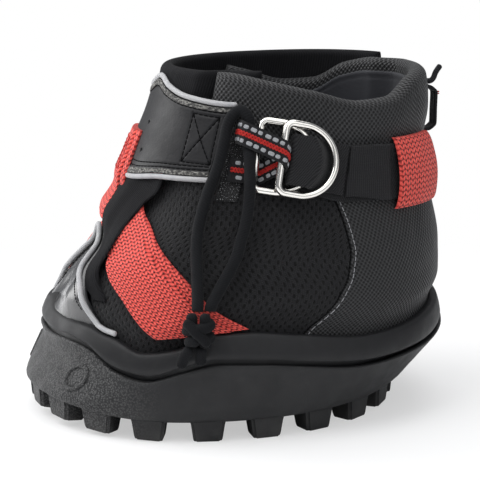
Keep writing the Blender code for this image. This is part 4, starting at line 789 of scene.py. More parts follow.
def foam_look():
    look = Look("pad_foam", 0.9)
    cells = look.noise(1100.0)
    colour = look.mix(cells, (0.030, 0.030, 0.033), (0.065, 0.065, 0.070))
    return look.done("pad_foam", colour, None, look.bump(cells + look.cells(420.0), 0.0003, 0.6))


def board_look():
    look = Look("lasting_board", 0.85)
    fibre = look.noise(1.0, 4.0, 0.5, (300, 1500, 900))
    return look.woven("lasting_board", fibre, (0.24, 0.22, 0.18), (0.36, 0.33, 0.28), (0.0001, 0.5))


sole_look = rubber_look("sole_rubber", (0.0125, 0.0127, 0.0136), 0.46, 0.62, True)
rand_look = rubber_look("rand_rubber", (0.0084, 0.0086, 0.0096), 0.46, 0.60, False)
cap_look = gloss_look()
mesh_look = air_mesh_look()
heel_look = ballistic_look()
cuff_look = knit_look()
inner_look = lining_look()
strap_leather_look = leather_look()
pipe_look = piping_look()
flange_look = flange_look_made()
red_look = webbing_look("red_webbing")
keeper_look = webbing_look("red_webbing_ribbed", True)
cloth_look = strap_look()
metal_look = nickel_look()
tab_look = ribbon_look("tab_ribbon")
patch_look = hook_look()
braid_look = cord_look("cord", (0.0045, 0.0047, 0.0054), (0.0105, 0.0110, 0.0124))
small_cord_look = cord_look("small_cord", (0.006, 0.006, 0.007), (0.026, 0.026, 0.029), 1.2, 7.5)
loop_look = ribbon_look("loop_ribbon")
glint_look = glint_look_made()
black_thread = thread_look("black_thread", "strap_leather", (0.0010, 0.0010, 0.0013), (0.0034, 0.0034, 0.0040), 0.9)
grey_thread = thread_look("grey_thread", "tab_ribbon", (0.20, 0.205, 0.215), (0.40, 0.41, 0.43))
seam_thread = thread_look("seam_thread", "ballistic_cloth", (0.20, 0.20, 0.21), (0.38, 0.38, 0.40))
red_thread = thread_look("red_thread", "red_webbing", (0.26, 0.012, 0.011), (0.52, 0.036, 0.030))
pad_look = foam_look()
insole_look = board_look()

# ---------------------------------------------------------------- cords
CORD_DIAMETER = 0.0046
CORD_ROUTE = (
    (-0.0374, -0.0660, 0.0543), (-0.0369, -0.0649, 0.0568), (-0.0354, -0.0600, 0.0643),
    (-0.0332, -0.0526, 0.0761), (-0.0304, -0.0482, 0.0851), (-0.0258, -0.0449, 0.0961),
    (-0.0221, -0.0438, 0.1037), (-0.0196, -0.0429, 0.1103), (-0.0177, -0.0419, 0.1165),
    (-0.0159, -0.0409, 0.1225), (-0.0138, -0.0408, 0.1259), (-0.0111, -0.0415, 0.1277),
    (-0.0091, -0.0431, 0.1262), (-0.0083, -0.0447, 0.1231), (-0.0091, -0.0462, 0.1174),
    (-0.0097, -0.0477, 0.1132), (-0.0101, -0.0495, 0.1105), (-0.0109, -0.0524, 0.1038),
    (-0.0116, -0.0542, 0.0981), (-0.0124, -0.0552, 0.0924), (-0.0138, -0.0565, 0.0868),
    (-0.0165, -0.0585, 0.0802), (-0.0204, -0.0612, 0.0720), (-0.0279, -0.0644, 0.0616),
    (-0.0320, -0.0669, 0.0566), (-0.0327, -0.0673, 0.0543))
TAIL_ROUTES = (
    ("front", ((-0.0418, -0.0682, 0.0396), (-0.0432, -0.0670, 0.0368), (-0.0441, -0.0661, 0.0338))),
    ("back", ((-0.0372, -0.0692, 0.0396), (-0.0371, -0.0687, 0.0372), (-0.0370, -0.0684, 0.0348))))
KNOT_CENTRE = np.array((-0.0379, -0.0688, 0.0468))
KNOT_SIZE = (0.0132, 0.0092, 0.0124)


def knot_lines(r):
    """The knot's strands: two wraps round it, one over its face and two down its middle."""
    out = unit(KNOT_CENTRE * (1, 1, 0))
    along = np.array((-out[1], out[0], 0.0))
    width, depth, height = KNOT_SIZE

    def at(a, o, z):
        return KNOT_CENTRE + along * a + out * o + np.array((0.0, 0.0, 1.0)) * z

    lines = [np.array([at((width / 2 - r) * math.cos(t), (depth / 2 - r) * math.sin(t) * 1.02, height * d)
                       for t, d in zip(np.radians(np.linspace(-40, 400, 60)), np.linspace(0.27, -0.22, 60))]),
             np.array([at((width / 2 - r) * 0.80 * math.cos(t), (depth / 2 - r) * math.sin(t),
                          height * (-0.34 + 0.10 * math.sin(t))) for t in np.radians(np.linspace(100, 330, 36))]),
             smooth_route([at(-0.0040, 0.0020, height * 0.30), at(-0.0005, 0.0033, height * 0.04),
                           at(0.0036, 0.0020, -height * 0.28)], 0.0008)]
    for side in (-1, 1):
        lines.append(np.linspace(at(0.0026 * side, 0.0006, height / 2 - 0.0002),
                                 at(0.0022 * side, -0.0004, -height / 2 + 0.0012), 16))
    return lines


def build_cord():
    path = smooth_route(CORD_ROUTE, 0.0012)
    cord = pipe("pull_cord_braid", path, CORD_DIAMETER / 2, braid_look, sides=24, ends=False,
                stands_for=("pull_cord",))
    tails = [pipe("cord_tail_" + name, smooth_route(route, 0.0008), CORD_DIAMETER / 2 * 0.96, braid_look, sides=24,
                  stands_for=("pull_cord_tail_" + name,)) for name, route in TAIL_ROUTES]
    r = CORD_DIAMETER / 2 * 0.93
    knot = many("cord_knot", [sweep(line, r) for line in knot_lines(r)], braid_look, stands_for=("pull_cord_knot",))


# ---------------------------------------------------------------- outsole and rand
CUP_STEPS = 180
CUP_EDGE_INSET = 0.0014
CUP_UNDER_SHARES = (0.06, 0.3, 0.5, 0.7, 0.85, 0.95, 1.0)
CUP_SIDE_SHARES = ((0.02, -0.0007), (0.05, -0.0002), *((share, 0.0) for share in (
    0.09, 0.16, 0.24, 0.32, 0.40, 0.48, 0.56, 0.64, 0.72, 0.80, 0.87)), (0.93, 0.0002), (0.97, 0.0003), (0.99, 0.0))
RAND_SIDE_SHARES = ((0.0, -0.0007), (0.0, -0.0001), (0.06, 0.0002), (0.14, 0.0004), (0.26, 0.0005), (0.40, 0.0004),
                    (0.54, 0.0003), (0.68, 0.0001), (0.80, -0.0001), (0.88, -0.0003), (0.94, -0.0006),
                    (0.975, -0.0010), (1.0, -0.0016), (1.0, -0.0026))
STUD_BEVEL, INNER_STUD_BEVEL = 0.0012, 0.0011


def rise_of_sole(x):
    toe = np.clip((ROCKER_START - x) / (SOLE_LENGTH / 4), 0, 1)
    heel = np.clip((x - HEEL_RISE_START) / (SOLE_LENGTH / 4), 0, 1)
    return ROCKER_RISE * toe ** 2 + HEEL_RISE * heel ** 2


def on_underside(point):
    point[..., 2] = PLATE_UNDERSIDE + rise_of_sole(point[..., 0])
    return point


def sole_edge(turn, inset):
    return on_underside(sole(turn, np.full_like(np.asarray(turn, float), PLATE_UNDERSIDE), -inset))


def cup_sections():
    turn = full_turn(CUP_STEPS)
    edge = sole_edge(turn, CUP_EDGE_INSET)
    rings = [on_underside(edge * share) for share in CUP_UNDER_SHARES]
    top = lip_height(turn) - GROOVE_HEIGHT / 2
    low = edge[:, 2]
    rings += [sole(turn, low + (top - low) * share, out) for share, out in CUP_SIDE_SHARES]
    ledge = lip_height(turn) - RAND_LEG_DEPTH - CLEARANCE
    rings += [sole(turn, top, -0.0004), sole(turn, top + 0.0001, -0.0010)]
    rings += [last(turn, z, LEG_OUT + CLEARANCE) for z in (top, ledge)]
    rings += [last(turn, np.zeros_like(turn) + z, -RAND_THICKNESS) for z in (ledge, PANEL_BOTTOM, FLOOR_HEIGHT)]
    return np.stack([*rings, rings[-1] * (0.1, 0.1, 1)])


def rounded_block(base, tip, bevel):
    """Loops of a stud between its root and its foot, with softened corners and foot."""
    def ring(points, inset):
        centre = points.mean(0)
        loop = []
        for a, p, b in zip(np.roll(points, 1, 0), points, np.roll(points, -1, 0)):
            for q, w, pull in ((a, 1.0, 0.0), (a, 0.45, 0.10), (b, 0.45, 0.10), (b, 1.0, 0.0)):
                loop.append(p + unit(q - p) * bevel * w + (centre - p) * pull * bevel / 0.0012)
        loop = np.array(loop)
        return loop + unit((centre - loop) * (1, 1, 0)) * inset

    rows = [ring(base * (1 - share) + tip * share, inset)
            for share, inset in ((0.0, -0.0008), (0.08, -0.0002), (0.3, 0.0), (0.6, 0.0), (0.85, 0.0))]
    for inset, lift in ((0.0, 0.55), (0.30, 0.12), (0.8, 0.0)):
        rows.append(ring(tip, bevel * inset) + np.array((0, 0, 1.0)) * bevel * lift)
    return np.array(rows)


def stud(face, bevel):
    return rounded_block(face(1.0, PLATE_UNDERSIDE + LUG_ROOT), face(LUG_TAPER_SHARE, 0.0), bevel)


def lug_blocks():
    blocks = []
    for turn in full_turn(LUG_COUNT):
        centre = sole_edge(turn, LUG_INSET)
        along = unit((sole_edge(turn + 1, LUG_INSET) - sole_edge(turn - 1, LUG_INSET)) * (1, 1, 0))
        inward = np.array((-along[1], along[0], 0.0))

        def face(share, z):
            loop = np.array([centre + along * a * LUG_LENGTH * share
                             + inward * (b * share + (1 - share) / 3) * LUG_DEPTH for a, b in LUG_CORNER_SHARES])
            loop[:, 2] = z + rise_of_sole(loop[:, 0])
            return loop

        blocks.append(stud(face, STUD_BEVEL))
    a = math.tau * (np.arange(6) + 0.5) / 6
    for k, count in enumerate(INNER_LUG_COUNTS):
        for i in range(count):
            x0 = (k - (len(INNER_LUG_COUNTS) - 1) / 2) * INNER_LUG_PITCH
            y0 = (i - (count - 1) / 2) * INNER_LUG_PITCH

            def face(share, z):
                x = x0 + INNER_LUG_RADIUS * share * np.cos(a)
                return np.stack([x, y0 + INNER_LUG_RADIUS * share * np.sin(a), z + rise_of_sole(x)], -1)

            blocks.append(stud(face, INNER_STUD_BEVEL))
    return blocks


def boss_rings():
    parts = []
    for turn in BOSS_TURNS:
        centre = sole(turn, BOSS_HEIGHT)
        along = unit(sole(turn + 1, BOSS_HEIGHT) - sole(turn - 1, BOSS_HEIGHT))
        up = unit(sole(turn, BOSS_HEIGHT + BOSS_RADIUS) - sole(turn, BOSS_HEIGHT - BOSS_RADIUS))
        out = unit(np.cross(along, up))
        loops = []
        for a in np.arange(40) * math.tau / 40:
            spoke = along * math.cos(a) + up * math.sin(a)
            sunk = -0.0006 * abs(math.cos(a)) * 2
            section = [(BOSS_RADIUS, sunk - 0.0012)]
            for b in np.radians(np.linspace(0, 180, 9)):
                section.append((BOSS_RADIUS - BOSS_RIM / 2 + BOSS_RIM / 2 * math.cos(b),
                                BOSS_RAISE * (0.1 + 0.95 * math.sin(b)) + sunk * 0.4))
            section.append((BOSS_RADIUS - BOSS_RIM, sunk - 0.0012))
            loops.append([centre + spoke * r + out * n for r, n in section])
        parts.append(np.array(loops))
    return parts


def build_sole():
    rings = cup_sections()
    loft("outsole_cup", rings.transpose(1, 0, 2), sole_look, wrap_v=False, sharp=48, stands_for=("outsole",))
    for name, ring, flip in (("outsole_floor", rings[-1], False), ("outsole_middle", rings[0], True)):
        centre = np.repeat(ring.mean(0)[None], CUP_STEPS, 0)
        loft(name, columns([ring, centre]), sole_look, wrap_v=False, flip=flip)
    many("outsole_studs", lug_blocks(), sole_look, sharp=38)
    many("outsole_toe_rings", boss_rings(), sole_look, wrap_u=True, sharp=60)


def build_rand():
    turn = full_turn(CUP_STEPS)
    groove, top = lip_height(turn) + GROOVE_HEIGHT / 2, rand_height(turn)
    foot = lip_height(turn) - RAND_LEG_DEPTH
    rings = [last(turn, foot, -RAND_THICKNESS), last(turn, foot, LEG_OUT), last(turn, groove, LEG_OUT)]
    for share, out in RAND_SIDE_SHARES:
        swell = 1 + 0.25 * np.sin(np.radians(turn) * 9) * (out > 0)
        rings.append(last(turn, groove + (top - groove) * share, out * swell))
    rings += [last(turn, z, -RAND_THICKNESS) for z in (top, (top + foot) / 2)]
    loft("rand_rubber_band", columns(rings), rand_look, sharp=60, stands_for=("rand_band",))


# ---------------------------------------------------------------- panels of the upper
CAP_PEAK_SHARE = -0.033
CAP_EDGE_SHARES = (
    (-0.20, 0.255), (-0.15, 0.308), (-0.105, 0.385), (-0.072, 0.460), (-0.05, 0.516), (CAP_PEAK_SHARE, 0.529),
    (-0.014, 0.4975), (0.0244, 0.459), (0.061, 0.431), (0.0944, 0.399), (0.113, 0.367), (0.141, 0.317),
    (0.1856, 0.271), (0.20, 0.258))
CAP_REACH_TURN = 30.0
FLANGE_TURN, FLANGE_WIDTH, FLANGE_THICKNESS = 27.0, 0.0019, 0.0004
CAP_RISE = 0.0062
CAP_RISE_FAR_TURNS, CAP_RISE_NEAR_TURNS, CAP_RISE_HEIGHTS = (146.0, 162.0), (188.0, 208.0), (0.032, 0.056)
HEEL_SEAM_SHARES = ((0.10, 0.44), (0.29, 0.511), (0.331, 0.533), (0.379, 0.556), (0.436, 0.567),
                    (0.488, 0.567), (0.527, 0.561), (0.575, 0.55), (0.70, 0.515))
SEAM_HEIGHTS, SEAM_TURN, SEAM_GAP_TURN = (0.0405, 0.0915), 1.35, 0.25
SEAM_STITCH, CAP_STITCH = (2.1, 1.45, 0.00034, 0.1), (1.9, 1.3, 0.00040, 0.1)
PIPING_DIAMETER = 0.0022
TURN_MM = 1.25
CALM_HEIGHTS = ((0.036, 0.048), (0.084, 0.092))
SIDE_MIDDLE_TURN, FAR_SIDE_SHIFT_MM = 72.0, 3.0
FRONT_GAP_TURN, THROAT_TURN, THROAT_HEIGHTS = 0.9, 8.5, (0.073, 0.082)
SEAM_LENGTH_MM, CAP_ROW_LENGTH_MM, CAP_ROW_START_TURN, CAP_ROW_TURN, CAP_ROW_DROP = 51.0, 46.0, 1.8, 20.0, 0.0030
PIPING_END_TURN = 36.0
FOLD_ROWS = ((0.85, 12.5, 69, 97, 13, 2.4), (0.75, 3.0, 59.5, 174, 13, 2.2), (0.55, 17, 56, 130, 8, 2.0),
             (0.6, -13, 76, 62, 14, 2.6), (0.35, 24, 76, 60, 8, 2.4), (0.5, -34, 62, 70, 8, 2.4))
HEEL_FOLD_ROWS = ((0.25, -62, 80, 75, 14, 3.5), (0.2, -50, 62, 12, 20, 3.5))


def cap_edge(angle):
    return curve(CAP_EDGE_SHARES, angle / TOE) * UPPER_HEIGHT


def cap_angle(z, side):
    table = sorted((height, side * at) for at, height in CAP_EDGE_SHARES if side * (at - CAP_PEAK_SHARE) >= 0)
    return np.minimum(curve(table, z / UPPER_HEIGHT) * TOE, CAP_REACH_TURN)


def seam_angle(z):
    return curve(HEEL_SEAM_SHARES, z / UPPER_HEIGHT) * TOE


def calm_ends(z):
    """No relief where a panel passes behind the rand, or under the strap and the collar."""
    return window(z, *CALM_HEIGHTS)


def side_folds(side, angle, z):
    """Padding of a side panel: puffs between a few soft valleys, in mm."""
    x, y = (angle - SIDE_MIDDLE_TURN) * TURN_MM + (FAR_SIDE_SHIFT_MM if side < 0 else 0.0), z / MM
    puffs = 0.45 * bell(x, 13) * bell(y - 69, 9) + 0.35 * bell(x - 24, 8) * bell(y - 56, 12)
    uneven = 0.16 * ripple(x, y, 11 if side > 0 else 12, 17.0)
    return (puffs - creases(x, y, FOLD_ROWS) + uneven - 0.15) * calm_ends(z)


def on_cap(turn, z, out=0.0):
    """A place on the wall, over the part where the cap stands proud because it bridges the webbings."""
    rise = window(turn, CAP_RISE_FAR_TURNS, CAP_RISE_NEAR_TURNS) * smooth(z, *CAP_RISE_HEIGHTS)
    return wall(turn, z, out + CAP_RISE * rise)


def toe_cap_place(u, v, out):
    angle = CAP_REACH_TURN * (2 * u - 1)
    return on_cap(TOE + angle, between((PANEL_BOTTOM, cap_edge(angle) - CLEARANCE), v), out)


def side_place(side):
    def place(u, v, out):
        z = between((PANEL_BOTTOM, PANEL_TOP), v)
        front = np.maximum(cap_angle(z, side) + FRONT_GAP_TURN, THROAT_TURN * smooth(z, *THROAT_HEIGHTS))
        angle = between((front, seam_angle(z) - SEAM_GAP_TURN), u)
        return wall(TOE + side * angle, z, out + side_folds(side, angle, z) * MM)
    return place


def heel_place(u, v, out):
    z = between((PANEL_BOTTOM, PANEL_TOP), v)
    turn = FULL + (TOE - seam_angle(z) - SEAM_GAP_TURN) * (2 * u - 1)
    x, y = (turn - FULL) * TURN_MM, z / MM
    return wall(turn, z, out + (0.10 * ripple(x, y, 21, 30.0) - creases(x, y, HEEL_FOLD_ROWS)) * calm_ends(z) * MM)


def line_out(points_at):
    """Turns a place on the boot's wall into stitch places with the level way out."""
    def place(t):
        points = points_at(t)
        return points, unit(points * (1, 1, 0) - np.array((0.012, 0, 0)))
    return place


def flange_ribs(x):
    return np.sin(x * math.tau / 1.9) ** 2


def build_panel_edges(name, side):
    """The seam's and the cap's threads, and the cap's piping with its flange, on one side."""
    peak = side * CAP_PEAK_SHARE * TOE

    def seam(t):
        z = between(SEAM_HEIGHTS, t)
        return wall(TOE + side * (seam_angle(z) + SEAM_TURN), z)

    def cap_row(t):
        angle = CAP_ROW_START_TURN + CAP_ROW_TURN * t
        return on_cap(TOE + side * (angle - 1.6 - 0.3 * t), cap_edge(side * angle) - CAP_ROW_DROP)

    def flange(u, v, out):
        angle = peak + 1.0 + FLANGE_TURN * u
        return on_cap(TOE + side * angle, cap_edge(side * angle) - CLEARANCE - FLANGE_WIDTH * v, 0.0001 + out)

    many("heel_seam_thread_" + name, stitch_row(line_out(seam), SEAM_LENGTH_MM, SEAM_STITCH), seam_thread)
    many("toe_cap_thread_" + name, stitch_row(line_out(cap_row), CAP_ROW_LENGTH_MM, CAP_STITCH), black_thread)
    plate("toe_piping_flange_" + name, flange, span(110, 42), span(6, 1.8), FLANGE_THICKNESS, flange_look,
          turned=side > 0, round_mm=0.4, relief=lambda x, y, u, v, gap: 0.08 * flange_ribs(x))
    angle = np.linspace(peak, PIPING_END_TURN, 90)
    height = np.maximum(cap_edge(side * angle), rand_height(TOE + angle) + PIPING_DIAMETER / 2 + 2 * CLEARANCE)
    route = on_cap(TOE + side * angle, height, PIPING_DIAMETER / 2 + CLEARANCE * 1.5)
    pipe("toe_piping_cord_" + name, smooth_route(route[::3], 0.0007), PIPING_DIAMETER / 2, pipe_look,
         stands_for=("toe_piping_" + name,))


def seam_dent(gap, depth):
    """The line that a seam presses in along a sheet's rim, in mm."""
    return depth * bell(gap - 2.6, 0.5)


def build_panels():
    def panel(name, place, us, vs, look, round_mm, stands_for, **extra):
        plate(name, place, us, vs, PANEL_THICKNESS, look, base=-PANEL_THICKNESS, round_mm=round_mm,
              stands_for=(stands_for,), **extra)

    panel("toe_cap_shell", toe_cap_place, span(70, 60), span(60, 55), cap_look, 0.8, "toe_cap",
          relief=lambda x, y, u, v, gap: 0.10 * ripple(x, y, 31, 22.0) - seam_dent(gap, 0.10))
    for name, side in SIDES:
        panel("side_panel_cloth_" + name, side_place(side), span(170, 105), span(110, 85), mesh_look, 0.6,
              "side_panel_" + name, turned=side < 0)
    panel("heel_panel_cloth", heel_place, span(210, 210), span(80, 85), heel_look, 0.5, "heel_panel")
    for name, side in SIDES:
        build_panel_edges(name, side)


def build_lining():
    turn = full_turn(CUP_STEPS)
    far = -PANEL_THICKNESS - LINING_GAP
    rings = [wall(turn, z, far) for z in np.linspace(PANEL_BOTTOM, PANEL_TOP, 26)]
    for a in math.pi * np.arange(1, 6) / 6:
        rings.append(wall(turn, PANEL_TOP - 0.0004 * (1 - math.sin(a)), far - LINING_THICKNESS / 2 * (1 - math.cos(a))))
    for z in np.linspace(PANEL_TOP, PANEL_BOTTOM, 70):
        x = turn * TURN_MM
        soft = (0.14 * ripple(x, np.full_like(x, z / MM), 41, 26.0) + 0.10) * smooth(z, 0.030, 0.040)
        seam = bell(np.mod(turn, 120) - 60, 0.7) * 0.5 * smooth(z, 0.028, 0.034)
        rings.append(wall(turn, z, far - LINING_THICKNESS + (soft * 0.9 - 0.1 + seam) * MM))
    loft("boot_lining_cloth", columns(rings), inner_look, sharp=70, stands_for=("boot_lining",))


PAD_GAP, PAD_FLOOR_GAP, PAD_THICKNESS, PAD_ROUND = 0.0026, 0.002, 0.006, 0.0012
PAD_RING_SHARES = (0.97, 0.93, 0.86, 0.78, 0.70, 0.62, 0.54, 0.46, 0.38, 0.30, 0.22, 0.14, 0.06, 0.01)


def build_insole():
    turn = full_turn(CUP_STEPS)
    inside = -RAND_THICKNESS - CLEARANCE - PANEL_THICKNESS - LINING_GAP - LINING_THICKNESS - PAD_GAP
    low = FLOOR_HEIGHT + CLEARANCE + PAD_FLOOR_GAP + CLEARANCE
    high = low + PAD_THICKNESS
    foot, edge = (last(turn, z, inside - PAD_ROUND) for z in (low, high))
    rings = [foot * (0.02, 0.02, 1), foot]
    for a in math.pi / 2 * np.arange(1, 6) / 6:
        rings.append(last(turn, low + PAD_ROUND * (1 - math.cos(a)), inside - PAD_ROUND * (1 - math.sin(a))))
    rings.append(last(turn, (low + high) / 2, inside))
    for a in math.pi / 2 * np.arange(7) / 6:
        rings.append(last(turn, high - PAD_ROUND * (1 - math.sin(a)), inside - PAD_ROUND * (1 - math.cos(a))))
    middle = edge.mean(0)
    for share in PAD_RING_SHARES:
        ring = middle + (edge - middle) * share
        dish = 0.0009 * (1 - share ** 2) - 0.0006 * bell(share - 0.93, 0.02)
        ring[:, 2] = high - dish - 0.0001 * ripple(ring[:, 0] / MM, ring[:, 1] / MM, 42, 24.0)
        rings.append(ring)
    pad = loft("insole_foam_pad", columns(rings), pad_look, wrap_v=False, sharp=70, stands_for=("insole_pad",))
    for slot in bpy.data.objects["insole_board"].material_slots:
        slot.material = insole_look[0]


# ---------------------------------------------------------------- collar and cuff
COLLAR_LINE_SHARES = ((0.0, 0.962), (0.25, 0.975), (0.34, 0.955), (0.46, 0.925), (0.58, 0.893),
                      (0.66, 0.897), (0.76, 0.945), (0.88, 0.965), (1.0, 0.966))
COLLAR_THICKNESS, COLLAR_CROWN = 0.0068, 0.0014
CROWN_RISE_TURNS, CROWN_FALL_TURNS = (268.0, 290.0), (332.0, 346.0)
COLLAR_FRONT_TURN, COLLAR_END_TURN = 222.0, 470.0
ARM_LEAN_TURNS, ARM_LEAN_HEIGHTS, ARM_LEAN_REACH = (4.0, -5.0), (0.108, 0.130), 20.0
COLLAR_LINING_START_TURN, COLLAR_LINING_THICKNESS, COLLAR_LINING_DROP = 239.0, 0.0012, 0.0055
CUFF_START_TURN, CUFF_END_TURN, CUFF_THICKNESS, CUFF_HEIGHT = 26.0, 237.0, 0.0056, 0.1415
LAP_TURNS, LAP_HEEL_TURNS = (207.0, 220.0), (2.0, 21.0)
CLOSURE_LINE_SHARES = ((0.0, 0.716), (0.28, 0.716), (0.44, 0.708), (0.60, 0.700), (1.0, 0.676))
CLOSURE_WIDTH, CLOSURE_THICKNESS = 0.0216, 0.0011
COLLAR_FOOT = PANEL_TOP + CLEARANCE
END_EASE_MM = 11.0
STRAP_TOP = CLOSURE_LINE_SHARES[-1][1] * UPPER_HEIGHT + CLOSURE_WIDTH / 2 + 0.005
STRAP_TOP_FREE = (STRAP_TOP + 0.0006, STRAP_TOP + 0.006)
CUFF_FREE_HEIGHTS, CUFF_FREE_TURNS = (0.1345, 0.1385), ((32, 40), (224, 232))
END_TURN = 4
COLLAR_FOLD_ROWS = ((0.35, -9, 126, 118, 9, 2.2), (0.25, 24, 124, 75, 9, 3.5), (0.25, 78, 126, 95, 9, 3.5))


def collar_height(turn):
    return curve(COLLAR_LINE_SHARES, half_share(turn)) * UPPER_HEIGHT


def lap_of_cuff(turn):
    return (COLLAR_THICKNESS + CLEARANCE) * smooth(turn, *LAP_TURNS)


def lap_of_collar(turn):
    return (CUFF_THICKNESS + CLEARANCE) * smooth(turn - FULL, *LAP_HEEL_TURNS)


def padded_wall(name, start, end, steps, top_of, lap, thick, point, look, swell, stands_for):
    """A padded wall with closed ends: loops go round its section at each turn."""
    close_rows = np.linspace(0, 1.0, 4) * END_TURN
    turn = np.concatenate([start + close_rows[:-1], np.linspace(start + END_TURN, end - END_TURN, steps),
                           end - END_TURN + close_rows[1:]])
    top, sunk, half = top_of(turn), lap(turn), thick / 2
    shoulder = top - half
    rows = [(COLLAR_FOOT + (shoulder - COLLAR_FOOT) * share, 0.0, 1.0) for share in np.linspace(0, 1, 34)]
    rows += [(top - half * (1 - math.sin(a) ** 0.95), half - half * math.cos(a), math.cos(a))
             for a in np.linspace(0, math.pi, 17)[1:-1]]
    rows += [(COLLAR_FOOT + (shoulder - COLLAR_FOOT) * share, thick, 0.0) for share in np.linspace(1, 0, 16)]
    ends = np.clip(np.minimum(turn - turn[0], turn[-1] - turn) * TURN_MM / END_EASE_MM, 0, 1)
    close = np.sqrt(1 - (1 - ends) ** 2) * 0.72 + 0.28
    loops = [point(turn, z, swell(turn, z) * max(facing, 0.0) * MM - sunk - half - (across - half) * close)
             for z, across, facing in rows]
    piece = loft(name, columns(loops), look, wrap_u=False, caps=True, sharp=60, stands_for=(stands_for,))


def collar_swell(turn, z):
    crown = COLLAR_CROWN / MM * window(turn, CROWN_RISE_TURNS, CROWN_FALL_TURNS)
    bulge = crown * np.sin(math.pi * np.clip((z - STRAP_TOP) / (collar_height(turn) - STRAP_TOP), 0, 1))
    x, y = (turn - 250.0) * TURN_MM, z / MM
    free = smooth(z, *STRAP_TOP_FREE)
    return bulge + (0.18 * ripple(x, y, 51, 24.0) - creases(x, y, COLLAR_FOLD_ROWS)) * free


def cuff_swell(turn, z):
    free = smooth(z, *CUFF_FREE_HEIGHTS) * window(turn, *CUFF_FREE_TURNS)
    return (0.22 * ripple((turn - 180.0) * TURN_MM, z / MM, 61, 15.0) - 0.05) * free


def slanted(turn, z, out):
    """The collar's surface; the near arm's front edge leans forward at its top."""
    lean = between(ARM_LEAN_TURNS, smooth(z, *ARM_LEAN_HEIGHTS))
    return last(turn + lean * (1 - smooth(turn, COLLAR_FRONT_TURN, COLLAR_FRONT_TURN + ARM_LEAN_REACH)), z, out)


def lining_place(u, v, out):
    """The collar's lining, whose own face looks into the boot."""
    turn = between((COLLAR_LINING_START_TURN, COLLAR_END_TURN), u)
    z = between((COLLAR_FOOT, collar_height(turn) - COLLAR_LINING_DROP), v)
    return last(turn, z, -lap_of_collar(turn) - COLLAR_THICKNESS - CLEARANCE - out)


def build_collar():
    padded_wall("collar_padding", COLLAR_FRONT_TURN, COLLAR_END_TURN, 300, collar_height, lap_of_collar,
                COLLAR_THICKNESS, slanted, heel_look, collar_swell, "collar")
    padded_wall("front_cuff_padding", CUFF_START_TURN, CUFF_END_TURN, 260, lambda turn: np.full_like(turn, CUFF_HEIGHT),
                lap_of_cuff, CUFF_THICKNESS, wall, cuff_look, cuff_swell, "front_cuff")
    plate("collar_lining_cloth", lining_place, span(200, 240), span(36, 32), COLLAR_LINING_THICKNESS, inner_look,
          turned=True, round_mm=0.9, stands_for=("collar_lining",),
          relief=lambda x, y, u, v, gap: 0.10 * ripple(x, y, 71, 22.0) - seam_dent(gap, 0.30))


# ---------------------------------------------------------------- facings, webbings and the front strap
FACING_EDGE_SHARES = ((0.365, 0.1278, 0.1611), (0.4, 0.0806, 0.1333), (0.435, 0.0528, 0.1139), (0.48, 0.0333, 0.1028),
                      (0.54, 0.0178, 0.0944), (0.61, 0.0144, 0.115), (0.655, 0.0178, 0.148))
FACING_LAP_SHARE, FACING_LAP_RAISE = 0.055, 0.0016
FACING_TOP_SHARE = 0.688
FACING_RAISE_HEIGHTS, FACING_LAP_START_SHARES, FACING_LAP_EDGE_SHARES = (0.054, 0.066), (0.46, 0.53), (0.35, 0.65)
PLY_EDGE_SHARES, PLY_GROOVE_SHARE = (0.795, 0.84), 0.845
OVERLAP_EDGE_SHARES, OVERLAP_GROOVE_SHARE = (0.20, 0.245), 0.195
FACING_THICKNESS, WEBBING_THICKNESS, WEBBING_LIFT = 0.0012, 0.0012, 0.0008
FACING_RAISE = 2 * (WEBBING_THICKNESS + CLEARANCE) + WEBBING_LIFT - CLEARANCE
WEBBING_LOWER_SHARES = ((0.275, 0.0324), (0.2056, 0.149), (0.1417, 0.2249), (0.0972, 0.2791),
                        (0.0444, 0.3387), (-0.0111, 0.4064), (-0.0722, 0.485), (-0.1222, 0.5555))
WEBBING_UPPER_SHARES = ((0.4167, 0.0677), (0.3556, 0.1408), (0.2889, 0.2411), (0.1722, 0.3929),
                        (0.1083, 0.4579), (0.0444, 0.5501), (-0.0111, 0.6314), (-0.0667, 0.7127))
CROSS_TURNS, PLY_TURNS = (16.0, 26.0), (22.0, 32.0)
FRONT_STRAP_TOP_TURNS, FRONT_STRAP_LOW_TURNS = (129.5, 230.5), (132.5, 227.5)
FRONT_STRAP_TOP_SHARES = ((126.0, 0.878), (154.0, 0.896), (169.0, 0.918), (180.0, 0.940),
                          (191.0, 0.918), (206.0, 0.896), (231.0, 0.882))
FRONT_STRAP_LOW_SHARES = ((126.0, 0.702), (153.0, 0.700), (180.0, 0.682), (207.0, 0.700), (231.0, 0.702))
FRONT_STRAP_THICKNESS = 0.0018
STRAP_LIFT = CLEARANCE * 1.2
STRAP_FACE_MM = np.array((105.0, 30.0))
STRAP_STITCH, OVERLAP_STITCH = (2.3, 1.75, 0.00046, 0.55), (2.3, 1.6, 0.00050, 0.1)
HOLE_PLACES = ((182.8, 0.1191), (186.0, 0.1083))
BOX_PLACES = ((212.3, 0.1254), (225.2, 0.1242), (226.6, 0.1062), (213.8, 0.1067))
STRAP_ROWS = [((0.012, v), (0.988, v)) for v in (0.085, 0.135, 0.925)]
OVERLAP_EDGE = ((0.0785, 180.5), (0.0832, 180.5), (0.0882, 181.4), (0.0941, 181.0), (0.0994, 180.6),
                (0.1048, 179.8), (0.1109, 179.4), (0.1152, 179.4))
OVERLAP_TURN, OVERLAP_FLARE_TURN, OVERLAP_FLARE_HEIGHTS = 25.0, 3.0, (0.100, 0.080)
OVERLAP_FREE_LIFT, OVERLAP_LAID_LIFT, OVERLAP_LAY_HEIGHTS = 0.0046, 0.0022, (0.0900, 0.0985)
FLANGE_COVER_SHARE, FLANGE_END_SHARE, FLANGE_SUNK = 0.062, 0.003, 0.00015
